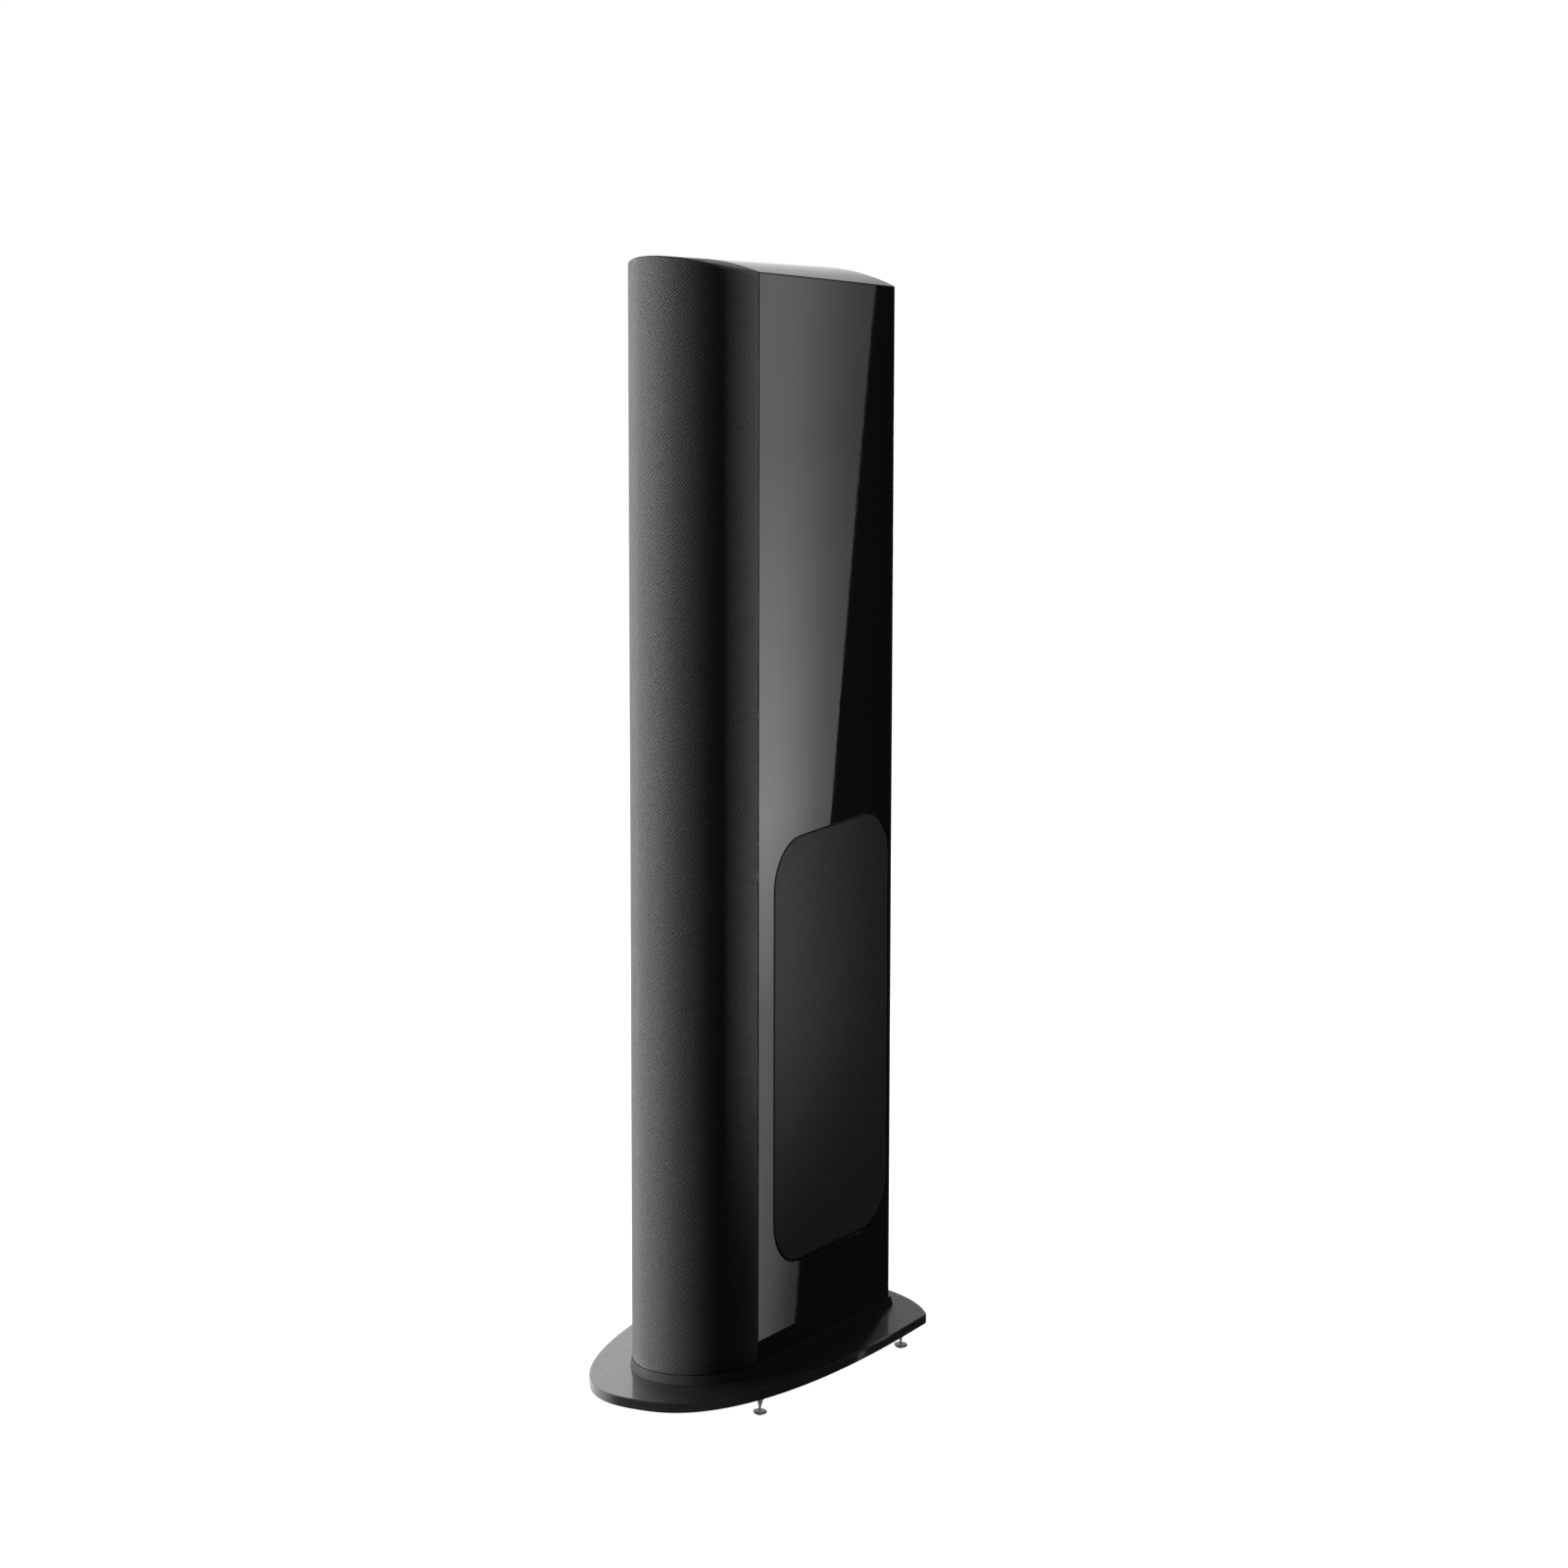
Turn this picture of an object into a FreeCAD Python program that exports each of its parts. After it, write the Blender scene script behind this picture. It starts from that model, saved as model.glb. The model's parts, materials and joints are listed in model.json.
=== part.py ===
import FreeCAD, Part
import math
import os

# Floorstanding tower loudspeaker, in millimetres.
# Origin: middle of the base's footprint, on the floor. +Z up, the grille faces -Y.
# The cabinet is a tapered box, wider at the back, with a crowned and sloping top.
# A bow-fronted cloth grille stands ahead of the "seam" plane, where the box begins.

V = FreeCAD.Vector

# ---------------------------------------------------------------- driving dimensions
HALF_WIDTH_FRONT = 69.0
HALF_WIDTH_REAR = 87.0
CABINET_DEPTH = 275.0
BASE_FRONT_REACH = 141.0
BASE_REAR_REACH = 336.0
SEAM_Y = (BASE_FRONT_REACH - BASE_REAR_REACH) / 2
REAR_Y = SEAM_Y + CABINET_DEPTH
TAPER = math.atan((HALF_WIDTH_REAR - HALF_WIDTH_FRONT) / CABINET_DEPTH)

BASE_HALF_WIDTH = 136.0
BASE_WIDEST_BEHIND_SEAM = 261.6
BASE_FRONT_EXPONENT = 2.53
BASE_CORNER_RADIUS = 10.0
BASE_UNDERSIDE = 18.0
BASE_THICKNESS = 11.0
BASE_TOP = BASE_UNDERSIDE + BASE_THICKNESS
BASE_EDGE_ROUND = 1.2
BASE_CURVE_STEPS = 14

PLINTH_HEIGHT = 9.5
PLINTH_TOP_LEDGE = 0.5
PLINTH_FOOT_LEDGE = 2.2
CABINET_BOTTOM = BASE_TOP + PLINTH_HEIGHT

CREST_Z_AT_SEAM = 1189.5
CROWN_RADIUS = 230.0
CROWN_SLOPE = math.radians(6.73)
CAP_UNDERSIDE_AT_SEAM = 1160.0
CAP_EDGE_ROUND = 1.4
REAR_CORNER_RADIUS = 5.0

PANEL = 20.0
REAR_PANEL = 18.0
BOARD = 16.0
BAFFLE = 22.0
BAFFLE_HALF_WIDTH = 61.0
BAFFLE_Z = (46.0, 1166.0)
BAFFLE_FRONT_Y = SEAM_Y - BAFFLE

TWEETER_Z = 985.0
MID_Z = {"upper": 1087.5, "lower": 882.5}
WOOFER_Z = {"upper": 713.0, "lower": 487.0}
WOOFER_STRAIGHT = 104.0

RADIATOR_BEHIND_SEAM = 148.0
RADIATOR_Z = 358.0
RADIATOR_STRAIGHT = 102.0
SIDE_ALONG = (math.sin(TAPER), math.cos(TAPER), 0.0)
SIDE_OUTWARD = (math.cos(TAPER), -math.sin(TAPER), 0.0)
SIDE_ORIGIN = (
    HALF_WIDTH_FRONT + SIDE_ALONG[0] * RADIATOR_BEHIND_SEAM,
    SEAM_Y + SIDE_ALONG[1] * RADIATOR_BEHIND_SEAM,
    RADIATOR_Z,
)
SIDE_GRILLE_SIZE = (236.0, 458.0)
SIDE_GRILLE_CORNER = 52.0
SIDE_GRILLE_GAP = 0.8
SIDE_GRILLE_DEPTH = 9.0
SIDE_GRILLE_EDGE_ROUND = 0.8

BOW_HALF_WIDTH = 69.0
BOW_DEPTH = 79.0
CLOTH = 1.0
GRILLE_BOTTOM = CABINET_BOTTOM + 0.6
GRILLE_BACK_GAP = 0.6
RIB_Z = (90.0, 210.0, 330.0, 600.0, 826.0, 1153.0)
GRILLE_PEG_Z = (90.0, 330.0, 600.0, 1153.0)
GRILLE_PEG_X = 48.0
PEG_RADIUS = 3.0

FOOT_PLACES = {
    "front_left": (-95.0, SEAM_Y - 46.5),
    "front_right": (95.0, SEAM_Y - 46.5),
    "rear_left": (-124.0, SEAM_Y + 225.4),
    "rear_right": (124.0, SEAM_Y + 225.4),
}
FOOT_DISC_RADIUS = 7.4
FOOT_DISC_Z = (1.4, 4.4)
FOOT_PAD_RADIUS = 3.4
SPIKE_TAPER_Z = (3.9, 12.5)
SPIKE_TAPER_RADII = (0.7, 2.2)
SPIKE_COLLAR_RADIUS = 4.2
SPIKE_COLLAR = 1.8
TOUCH_GAP = 0.05
INSERT_RADIUS = 4.5
INSERT_TOP = BASE_TOP - 1.5
THREAD_RADIUS = 3.0
THREAD_CLEARANCE = 0.05

BOLT_RADIUS = 3.0
BOLT_HEAD_RADIUS = 5.5
BOLT_HEAD = 4.0
BOLT_SINK = 0.5
BOLT_TOP = CABINET_BOTTOM + 12.0

SCREW_RADIUS = 1.6
SCREW_HEAD_RADIUS = 3.0
SCREW_HEAD = 2.0

# drivers: radii from their axis, heights above the flange's front face
RECESS_GAP = 0.3
BAFFLE_POCKET = 30.0
MID_FLANGE = 54.0
MID_FLANGE_DEPTH = 3.5
MID_HOLE = 46.0
MID_MOTOR_LEVELS = (-60.0, -54.0, -41.0, -36.0)
MID_MOTOR = {"outer": 32.0, "gap": 14.4, "pole": 12.4, "bore": 18.0, "levels": MID_MOTOR_LEVELS}
MID_ROLL = {"lip_out": 47.9, "centre": 42.5, "radius": 4.0, "lip_in": 35.2, "base": 0.0, "sheet": 0.7}
MID_SPIDER = (13.35, 33.6, -29.5)
MID_FORMER = (13.0, 13.3)
MID_COIL = (13.3, 13.9)
WOOFER_FLANGE = 59.0
WOOFER_FLANGE_DEPTH = 4.0
WOOFER_HOLE = 48.5
WOOFER_MOTOR_LEVELS = (-74.0, -66.0, -48.0, -42.0)
WOOFER_MOTOR = {"outer": 34.0, "gap": 16.9, "pole": 14.9, "bore": 20.0, "levels": WOOFER_MOTOR_LEVELS}
WOOFER_ROLL = {"lip_out": 52.9, "centre": 45.0, "radius": 7.0, "lip_in": 34.6, "base": 0.0, "sheet": 0.9}
WOOFER_SPIDER = (15.95, 34.0, -33.4)
WOOFER_FORMER = (15.5, 15.9)
WOOFER_COIL = (15.9, 16.4)
RADIATOR_FLANGE = 101.5
RADIATOR_FLANGE_Z = (-13.0, -9.0)
RADIATOR_HOLE = 90.0
RADIATOR_LEDGE_Z = -21.0
RADIATOR_ROLL = {
    "lip_out": 85.5, "centre": 76.0, "radius": 8.0, "lip_in": 64.5, "base": RADIATOR_LEDGE_Z, "sheet": 1.0,
}
RADIATOR_PLATE = 70.0
TWEETER_FACE = (72.0, 92.0)
TWEETER_CORNER = 6.0
TWEETER_FACE_DEPTH = 4.0
TWEETER_YOKE = (30.0, 40.0, 36.0)
RIBBON_HALF = (12.0, 28.0)

SIDE_PEG_PLACES = [(x, y) for x in (-50, 50) for y in (-222, 222)]
SIDE_PEG_DEPTH = 16.0
FIT_GAP = 0.1
SOCKET_RADIUS = 6.0
SOCKET_DEPTH = 12.0
SHELF_Z = (CABINET_BOTTOM, 592.0, 818.0)
BRACE_BEHIND_SEAM = (150.0, 162.0)
INNER_REAR_Y = REAR_Y - REAR_PANEL

FRAME_INSET = CLOTH + 0.1
BAND = 3.5
RIB = 5.0
RAIL_DEPTH = 26.0
END_PLATE = 6.0
SIDE_FRAME_RIM = 12.0

AMP_PLATE_Z = (75.0, 382.0)
AMP_PLATE_HALF_WIDTH = 58.0
AMP_PLATE = 3.0
AMP_OPENING = (48.0, 85.0, 372.0)
PLATE_FACE_Y = REAR_Y + AMP_PLATE
KNOB_PLACE = (26.0, 300.0)
JACK_PLACE = (-26.0, 300.0)
INLET_Z = 112.0
INLET_HOLE = (15.0, 11.5)
JACK_BODY = 5.0
KNOB_SHAFT = 3.0
KNOB_RADIUS = 10.5
KNOB_HEIGHT = 12.0
SHAFT_GAP = 0.06
BUSH_RADIUS = 7.5
HEAT_SINK_Z = (165.0, 268.0)
HEAT_SINK_HALF_WIDTH = 44.0
HEAT_SINK_BASE = 4.0
FIN = 2.2
FIN_HEIGHT = 13.0
FINS = 12
POST_HALF_SPACING = 9.525
POST_Z = 350.0
POST_BODY = 5.0
POST_BUSH = 4.0
POST_WASHER = 1.2
POST_WASHER_RADIUS = 6.6
POST_CAP = 14.0
POST_CAP_RADIUS = 7.2
POST_END = 24.5
POST_BORE = 2.0
POST_BORE_DEPTH = 18.0

# helper sizes that only have to be large enough to clear the cabinet
FAR = 100.0
ABOVE_ALL = 1300.0


# ---------------------------------------------------------------- plain helpers
def box(x_range, y_range, z_range):
    low = V(x_range[0], y_range[0], z_range[0])
    size = [r[1] - r[0] for r in (x_range, y_range, z_range)]
    return Part.makeBox(*size, low)


def rod(radius, start, end):
    """A cylinder between two points."""
    a = V(*start)
    along = V(*end) - a
    return Part.makeCylinder(radius, along.Length, a, along)


def tube(outer, inner, start, end):
    return rod(outer, start, end).cut(rod(inner, start, end))


def prism(points, z_range):
    """An upright prism over a closed plan polygon."""
    corners = [V(x, y, z_range[0]) for x, y in points]
    face = Part.Face(Part.makePolygon(corners + corners[:1]))
    return face.extrude(V(0, 0, z_range[1] - z_range[0]))


def joined(shapes):
    return shapes[0].multiFuse(shapes[1:]).removeSplitter()


def cut_all(shape, tools):
    return shape.cut(Part.makeCompound(tools)) if tools else shape


def mirrored(shape):
    return shape.mirror(V(0, 0, 0), V(1, 0, 0))


def upright_edges(shape):
    return [e for e in shape.Edges if abs(e.tangentAt(e.FirstParameter).z) > 0.9]


def level_edges(shape):
    """Edges whose two ends are at one height."""
    ends = [(e, [v.Point.z for v in e.Vertexes]) for e in shape.Edges if len(e.Vertexes) == 2]
    return [e for e, (first, last) in ends if abs(last - first) < 1e-6]


def rear_corner_edges(shape):
    """The upright edges at the cabinet's outer rear corners."""
    found = []
    for edge in upright_edges(shape):
        if all(v.Point.y == REAR_Y and abs(v.Point.x) == HALF_WIDTH_REAR for v in edge.Vertexes):
            found.append(edge)
    return found


def placed(shape, origin, x_axis, y_axis, z_axis):
    """A copy of a shape drawn in its own frame, put at origin with the given axes."""
    m = FreeCAD.Matrix(
        x_axis[0], y_axis[0], z_axis[0], origin[0],
        x_axis[1], y_axis[1], z_axis[1], origin[1],
        x_axis[2], y_axis[2], z_axis[2], origin[2],
        0, 0, 0, 1,
    )
    moved = shape.copy()
    moved.Placement = FreeCAD.Placement(m).multiply(moved.Placement)
    return moved


def on_front(shape, z):
    """From a driver's frame (+Z towards the listener) to the baffle's front face."""
    return placed(shape, (0, BAFFLE_FRONT_Y, z), (1, 0, 0), (0, 0, 1), (0, -1, 0))


def on_right_side(shape):
    """From a frame on the side panel's outer face (+X rearwards, +Y up, +Z outwards)."""
    return placed(shape, SIDE_ORIGIN, SIDE_ALONG, (0, 0, 1), SIDE_OUTWARD)


def side_edges_within(shape, half_length, half_height):
    """Edges that lie on the side panel's outer face, inside a rectangle round the radiator."""
    found = []
    for edge in shape.Edges:
        away = edge.valueAt((edge.FirstParameter + edge.LastParameter) / 2) - V(*SIDE_ORIGIN)
        flush = abs(away.dot(V(*SIDE_OUTWARD))) < 1e-4
        inside = abs(away.dot(V(*SIDE_ALONG))) < half_length and abs(away.z) < half_height
        if flush and inside:
            found.append(edge)
    return found


def export(name, shape):
    shape.exportStep("parts/" + name + ".step")


def export_pair(name, shape):
    """A piece drawn on the side's outer face, on the right and mirrored on the left."""
    right = on_right_side(shape)
    export("right_" + name, right)
    export("left_" + name, mirrored(right))


# ---------------------------------------------------------------- rings and racetracks
def profile(points):
    """A face in the radius-height plane, from (radius, height) points."""
    corners = [V(r, 0, z) for r, z in points]
    return Part.Face(Part.makePolygon(corners + corners[:1]))


def swept_round(face, straight):
    """A profile carried round a circle, or round a racetrack with that straight length."""
    axis = (V(0, 0, 0), V(0, 0, 1))
    if not straight:
        return face.revolve(*axis, 360)
    end = face.revolve(*axis, 180)
    end.translate(V(0, straight / 2, 0))
    side = face.extrude(V(0, straight, 0))
    side.translate(V(0, -straight / 2, 0))
    halves = [end, side]
    for piece in (end, side):
        turned = piece.copy()
        turned.rotate(V(0, 0, 0), V(0, 0, 1), 180)
        halves.append(turned)
    return joined(halves)


def ring(inner, outer, low, high):
    return swept_round(profile([(inner, low), (outer, low), (outer, high), (inner, high)]), 0)


def racetrack(radius, straight, low, high):
    """A solid disc or racetrack plate."""
    return swept_round(profile([(0, low), (radius, low), (radius, high), (0, high)]), straight)


def roll_profile(lip_out, centre, radius, lip_in, base, sheet):
    """A half-roll surround: two flat lips with a half-circle roll between them."""
    shoulder = math.sqrt(radius**2 - sheet**2)
    hollow = radius - sheet
    top = base + sheet
    outer = Part.Arc(
        V(centre + shoulder, 0, top), V(centre, 0, base + radius), V(centre - shoulder, 0, top)
    )
    inner = Part.Arc(
        V(centre - hollow, 0, base), V(centre, 0, base + hollow), V(centre + hollow, 0, base)
    )
    edges = [
        Part.makeLine(V(centre + hollow, 0, base), V(lip_out, 0, base)),
        Part.makeLine(V(lip_out, 0, base), V(lip_out, 0, top)),
        Part.makeLine(V(lip_out, 0, top), V(centre + shoulder, 0, top)),
        outer.toShape(),
        Part.makeLine(V(centre - shoulder, 0, top), V(lip_in, 0, top)),
        Part.makeLine(V(lip_in, 0, top), V(lip_in, 0, base)),
        Part.makeLine(V(lip_in, 0, base), V(centre - hollow, 0, base)),
        inner.toShape(),
    ]
    return Part.Face(Part.Wire(edges))


def spider(inner, outer, height):
    """The corrugated centring disc behind a cone."""
    sheet = 0.6
    wave = 1.0
    steps = 8
    upper = []
    for i in range(steps + 1):
        r = inner + (outer - inner) * i / steps
        upper.append((r, height + (wave if i % 2 else 0.0)))
    lower = [(r, z - sheet) for r, z in reversed(upper)]
    return swept_round(profile(upper + lower), 0)


def rounded_rectangle(width, height, corner, low, high):
    """A plate with rounded corners, centred, drawn in the XY plane."""
    plate = Part.makeBox(width, height, high - low, V(-width / 2, -height / 2, low))
    return plate.makeFillet(corner, upright_edges(plate))


# ---------------------------------------------------------------- cabinet surfaces
def half_width(y, inset=0.0):
    """Half the cabinet's width at y, less an inset measured square to the side."""
    slope = math.tan(TAPER)
    return HALF_WIDTH_FRONT + (y - SEAM_Y) * slope - inset / math.cos(TAPER)


def cap_underside(y):
    return CAP_UNDERSIDE_AT_SEAM - math.tan(CROWN_SLOPE) * (y - SEAM_Y)


def above_crown(lowered=0.0):
    """Everything above the crowned, sloping top, or above the same surface lowered."""
    reach = 200.0
    slope = (0, math.cos(CROWN_SLOPE), -math.sin(CROWN_SLOPE))
    axis_z = CREST_Z_AT_SEAM - CROWN_RADIUS / math.cos(CROWN_SLOPE)
    start = V(0, SEAM_Y - reach * slope[1], axis_z - reach * slope[2])
    core = Part.makeCylinder(CROWN_RADIUS - lowered, 3 * reach, start, V(*slope))
    block = box((-120, 120), (SEAM_Y - 120, REAR_Y + 40), (1080, 1300))
    return block.cut(core)


def above_cap_plane():
    """Everything above the plane that the cap sits on."""
    front, rear = SEAM_Y - 60, REAR_Y + 60
    top = 1400.0
    corners = [
        V(-150, front, cap_underside(front)),
        V(-150, rear, cap_underside(rear)),
        V(-150, rear, top),
        V(-150, front, top),
    ]
    return Part.Face(Part.makePolygon(corners + corners[:1])).extrude(V(300, 0, 0))


def between_sides(y_range, z_range, inset=PANEL):
    """A board that fills the cabinet's tapered width between the side panels."""
    y0, y1 = y_range
    w0, w1 = half_width(y0, inset), half_width(y1, inset)
    return prism([(-w0, y0), (w0, y0), (w1, y1), (-w1, y1)], z_range)


# ---------------------------------------------------------------- base and plinth
def base_outline(z):
    """The base's closed outline: superellipse front, rounded corners, shallow rear arc."""
    widest_y = SEAM_Y + BASE_WIDEST_BEHIND_SEAM
    front_length = BASE_WIDEST_BEHIND_SEAM + BASE_FRONT_REACH
    tail = BASE_REAR_REACH - BASE_WIDEST_BEHIND_SEAM
    flat = BASE_HALF_WIDTH - BASE_CORNER_RADIUS
    corner = BASE_CORNER_RADIUS
    rear_radius = (tail**2 + flat**2 - corner**2) / (2 * (tail - corner))
    rear_centre_y = widest_y + tail - rear_radius
    power = 2 / BASE_FRONT_EXPONENT
    points = []
    for i in range(2 * BASE_CURVE_STEPS + 1):
        t = math.pi * i / (2 * BASE_CURVE_STEPS)
        c, s = math.cos(t), math.sin(t)
        x = math.copysign(BASE_HALF_WIDTH * abs(c) ** power, c)
        points.append(V(x, widest_y - front_length * s**power, z))
    front = Part.BSplineCurve()
    front.interpolate(points, InitialTangent=V(0, -1, 0), FinalTangent=V(0, 1, 0))
    turn = math.atan2(widest_y - rear_centre_y, flat)

    def corner_point(side, angle):
        x = side * (flat + corner * math.cos(angle))
        return V(x, widest_y + corner * math.sin(angle), z)

    def corner_arc(side):
        angles = (0, turn / 2, turn)
        return Part.Arc(*[corner_point(side, a) for a in angles]).toShape()

    rear = Part.Arc(corner_point(1, turn), V(0, widest_y + tail, z), corner_point(-1, turn))
    return Part.Wire([front.toShape(), corner_arc(-1), rear.toShape(), corner_arc(1)])


def footprint(ledge, z):
    """Plan of cabinet and grille together, grown by a ledge: bow, tapered sides, flat rear."""
    front_half = HALF_WIDTH_FRONT + ledge
    rear_half = HALF_WIDTH_REAR + ledge
    centre = V(0, SEAM_Y, z)
    bow = Part.Ellipse(V(0, SEAM_Y - BOW_DEPTH - ledge, z), V(front_half, SEAM_Y, z), centre)
    arc = Part.ArcOfEllipse(bow, -math.pi / 2, math.pi / 2)
    left, right = V(-front_half, SEAM_Y, z), V(front_half, SEAM_Y, z)
    rear_left = V(-rear_half, REAR_Y + ledge, z)
    rear_right = V(rear_half, REAR_Y + ledge, z)
    edges = [
        arc.toShape(),
        Part.makeLine(right, rear_right),
        Part.makeLine(rear_right, rear_left),
        Part.makeLine(rear_left, left),
    ]
    return Part.Wire(Part.sortEdges(edges)[0])


def base_bolt_places():
    return [(s * x, SEAM_Y + d) for s in (-1, 1) for x, d in ((40.0, 45.0), (60.0, 225.0))]


def base_bolts():
    bolts = []
    low = BASE_UNDERSIDE + BOLT_SINK
    for x, y in base_bolt_places():
        head = rod(BOLT_HEAD_RADIUS, (x, y, low), (x, y, low + BOLT_HEAD))
        shank = rod(BOLT_RADIUS, (x, y, low), (x, y, BOLT_TOP))
        socket = rod(2.0, (x, y, low), (x, y, low + 2.5))
        bolts.append(head.fuse(shank).cut(socket))
    return bolts


def bolt_holes():
    holes = []
    step = BASE_UNDERSIDE + BOLT_SINK + BOLT_HEAD
    for x, y in base_bolt_places():
        holes.append(rod(BOLT_HEAD_RADIUS, (x, y, BASE_UNDERSIDE - 1), (x, y, step)))
        holes.append(rod(BOLT_RADIUS, (x, y, step - 1), (x, y, BOLT_TOP)))
    return holes


def foot_insert(x, y):
    blank = rod(INSERT_RADIUS, (x, y, BASE_UNDERSIDE), (x, y, INSERT_TOP))
    return blank.cut(rod(THREAD_RADIUS, (x, y, BASE_UNDERSIDE), (x, y, INSERT_TOP - 0.5)))


def foot_spike(x, y):
    """Levelling spike: thread in the insert, lock collar, and a taper to the disc."""
    tip, shoulder = SPIKE_TAPER_Z
    collar_top = BASE_UNDERSIDE - TOUCH_GAP
    thread = rod(THREAD_RADIUS - THREAD_CLEARANCE, (x, y, shoulder), (x, y, INSERT_TOP - 1.0))
    collar = rod(SPIKE_COLLAR_RADIUS, (x, y, collar_top - SPIKE_COLLAR), (x, y, collar_top))
    taper = Part.makeCone(*SPIKE_TAPER_RADII, shoulder - tip, V(x, y, tip), V(0, 0, 1))
    return joined([thread, collar, taper])


def foot_disc(x, y):
    """Floor disc with a dimple for the spike, on a small pad."""
    low, high = FOOT_DISC_Z
    edge = FOOT_DISC_RADIUS
    dimple = SPIKE_TAPER_Z[0] - 0.1
    rim = [(0, low), (edge - 1.0, low), (edge, low + 0.8), (edge, high - 1.0), (edge - 0.8, high)]
    rim += [(1.6, high), (0.9, dimple), (0, dimple)]
    disc = swept_round(profile(rim), 0)
    pad = rod(FOOT_PAD_RADIUS, (0, 0, 0), (0, 0, low))
    foot = joined([disc, pad])
    foot.translate(V(x, y, 0))
    return foot


def make_base():
    plate = Part.Face(base_outline(BASE_UNDERSIDE)).extrude(V(0, 0, BASE_THICKNESS))
    plate = plate.makeFillet(BASE_EDGE_ROUND, level_edges(plate))
    feet = FOOT_PLACES.values()
    pockets = [rod(INSERT_RADIUS, (x, y, BASE_UNDERSIDE - 1), (x, y, INSERT_TOP)) for x, y in feet]
    export("base_plate", cut_all(plate, pockets + bolt_holes()))
    export("base_bolts", Part.makeCompound(base_bolts()))
    export("foot_inserts", Part.makeCompound([foot_insert(x, y) for x, y in feet]))
    plinth = Part.makeLoft(
        [footprint(PLINTH_FOOT_LEDGE, BASE_TOP), footprint(PLINTH_TOP_LEDGE, CABINET_BOTTOM)], True, True
    )
    export("plinth_plate", cut_all(plinth, bolt_holes()))
    for name, (x, y) in FOOT_PLACES.items():
        export(name + "_foot_disc", foot_disc(x, y))
        export(name + "_foot_spike", foot_spike(x, y))


# ---------------------------------------------------------------- drivers, in their own frame
def windows(radius, width, low, high, count, straight):
    """Tools that open a basket's wall between its spokes."""
    tools = []
    for i in range(count):
        tool = box((radius * 0.6, radius * 1.6), (-width / 2, width / 2), (low, high))
        tool.rotate(V(0, 0, 0), V(0, 0, 1), 360.0 / count * (i + 0.5))
        tool.translate(V(0, math.copysign(straight / 2, tool.CenterOfMass.y), 0))
        tools.append(tool)
    return tools


def mid_basket():
    wall = [(MID_FLANGE, 0), (MID_FLANGE, -MID_FLANGE_DEPTH), (45, -MID_FLANGE_DEPTH), (45, -8)]
    wall += [(34, -34), (34, -36), (16, -36), (16, -34), (32, -34), (43, -8), (43, 0)]
    basket = swept_round(profile(wall), 0)
    return cut_all(basket, windows(40, 24, -25, -10, 6, 0))


def motor(outer, gap, pole, bore, levels):
    """Front plate, ring magnet, and back plate with its pole; the levels run from back to front."""
    back, magnet_back, magnet_front, front = levels
    yoke = [(0, back), (outer, back), (outer, magnet_back), (pole, magnet_back), (pole, front), (0, front)]
    return [
        ring(gap, outer, magnet_front, front),
        ring(bore, outer, magnet_back, magnet_front),
        swept_round(profile(yoke), 0),
    ]


def mid_motor():
    """The motor, with a phase plug on its pole."""
    foot = MID_MOTOR["levels"][-1]
    plug = profile([(0, foot), (10, foot), (10, -4), (8.6, 0), (5.6, 3), (0, 4.4)])
    return motor(**MID_MOTOR) + [swept_round(plug, 0)]


def mid_cone():
    neck = MID_FORMER[0]
    cone = profile([(39, 0), (39, -1.2), (35.3, -1.2), (neck, -16.2), (neck, -15), (35, 0)])
    return joined([swept_round(cone, 0), ring(*MID_FORMER, -48, -15.4), ring(*MID_COIL, -43, -35)])


def mid_suspension():
    return [swept_round(roll_profile(**MID_ROLL), 0), spider(*MID_SPIDER)]


def woofer_basket():
    wall = [(WOOFER_FLANGE, 0), (WOOFER_FLANGE, -WOOFER_FLANGE_DEPTH), (48, -WOOFER_FLANGE_DEPTH)]
    wall += [(48, -8), (36, -40), (36, -42), (0, -42), (0, -40), (34, -40), (46, -8), (46, 0)]
    basket = swept_round(profile(wall), WOOFER_STRAIGHT)
    side_windows = []
    for side in (-1, 1):
        for y in (-31, 31):
            side_windows.append(box(sorted((side * 30, side * 60)), (y - 22, y + 22), (-32, -12)))
    openings = windows(42, 26, -32, -12, 6, WOOFER_STRAIGHT)[1:5:3] + side_windows
    shelf = tube(34, 31.5, (0, 0, -40), (0, 0, -34))
    coil_hole = rod(17, (0, 0, -45), (0, 0, -38))
    return joined([cut_all(basket, openings), shelf]).cut(coil_hole)


def woofer_motor():
    return motor(**WOOFER_MOTOR)


def woofer_cone():
    """A flat-bottomed dish on its former and coil."""
    dish = [(38, 0), (38, -1.5), (34.8, -1.5), (16, -19.5), (0, -19.5), (0, -18), (15.6, -18), (34.4, 0)]
    body = swept_round(profile(dish), WOOFER_STRAIGHT)
    return joined([body, ring(*WOOFER_FORMER, -55, -19), ring(*WOOFER_COIL, -50, -40)])


def woofer_suspension():
    return [swept_round(roll_profile(**WOOFER_ROLL), WOOFER_STRAIGHT), spider(*WOOFER_SPIDER)]


def radiator_frame():
    """Flange, a wall through the panel, and an inner ledge that the surround is glued to."""
    low, high = RADIATOR_FLANGE_Z
    ledge = RADIATOR_LEDGE_Z
    outside, inside = RADIATOR_HOLE, RADIATOR_HOLE - 4
    wall = [(RADIATOR_FLANGE, high), (RADIATOR_FLANGE, low), (outside, low), (outside, ledge - 3)]
    wall += [(76, ledge - 3), (76, ledge), (inside, ledge), (inside, high)]
    return swept_round(profile(wall), RADIATOR_STRAIGHT)


def radiator_surround():
    return swept_round(roll_profile(**RADIATOR_ROLL), RADIATOR_STRAIGHT)


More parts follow.
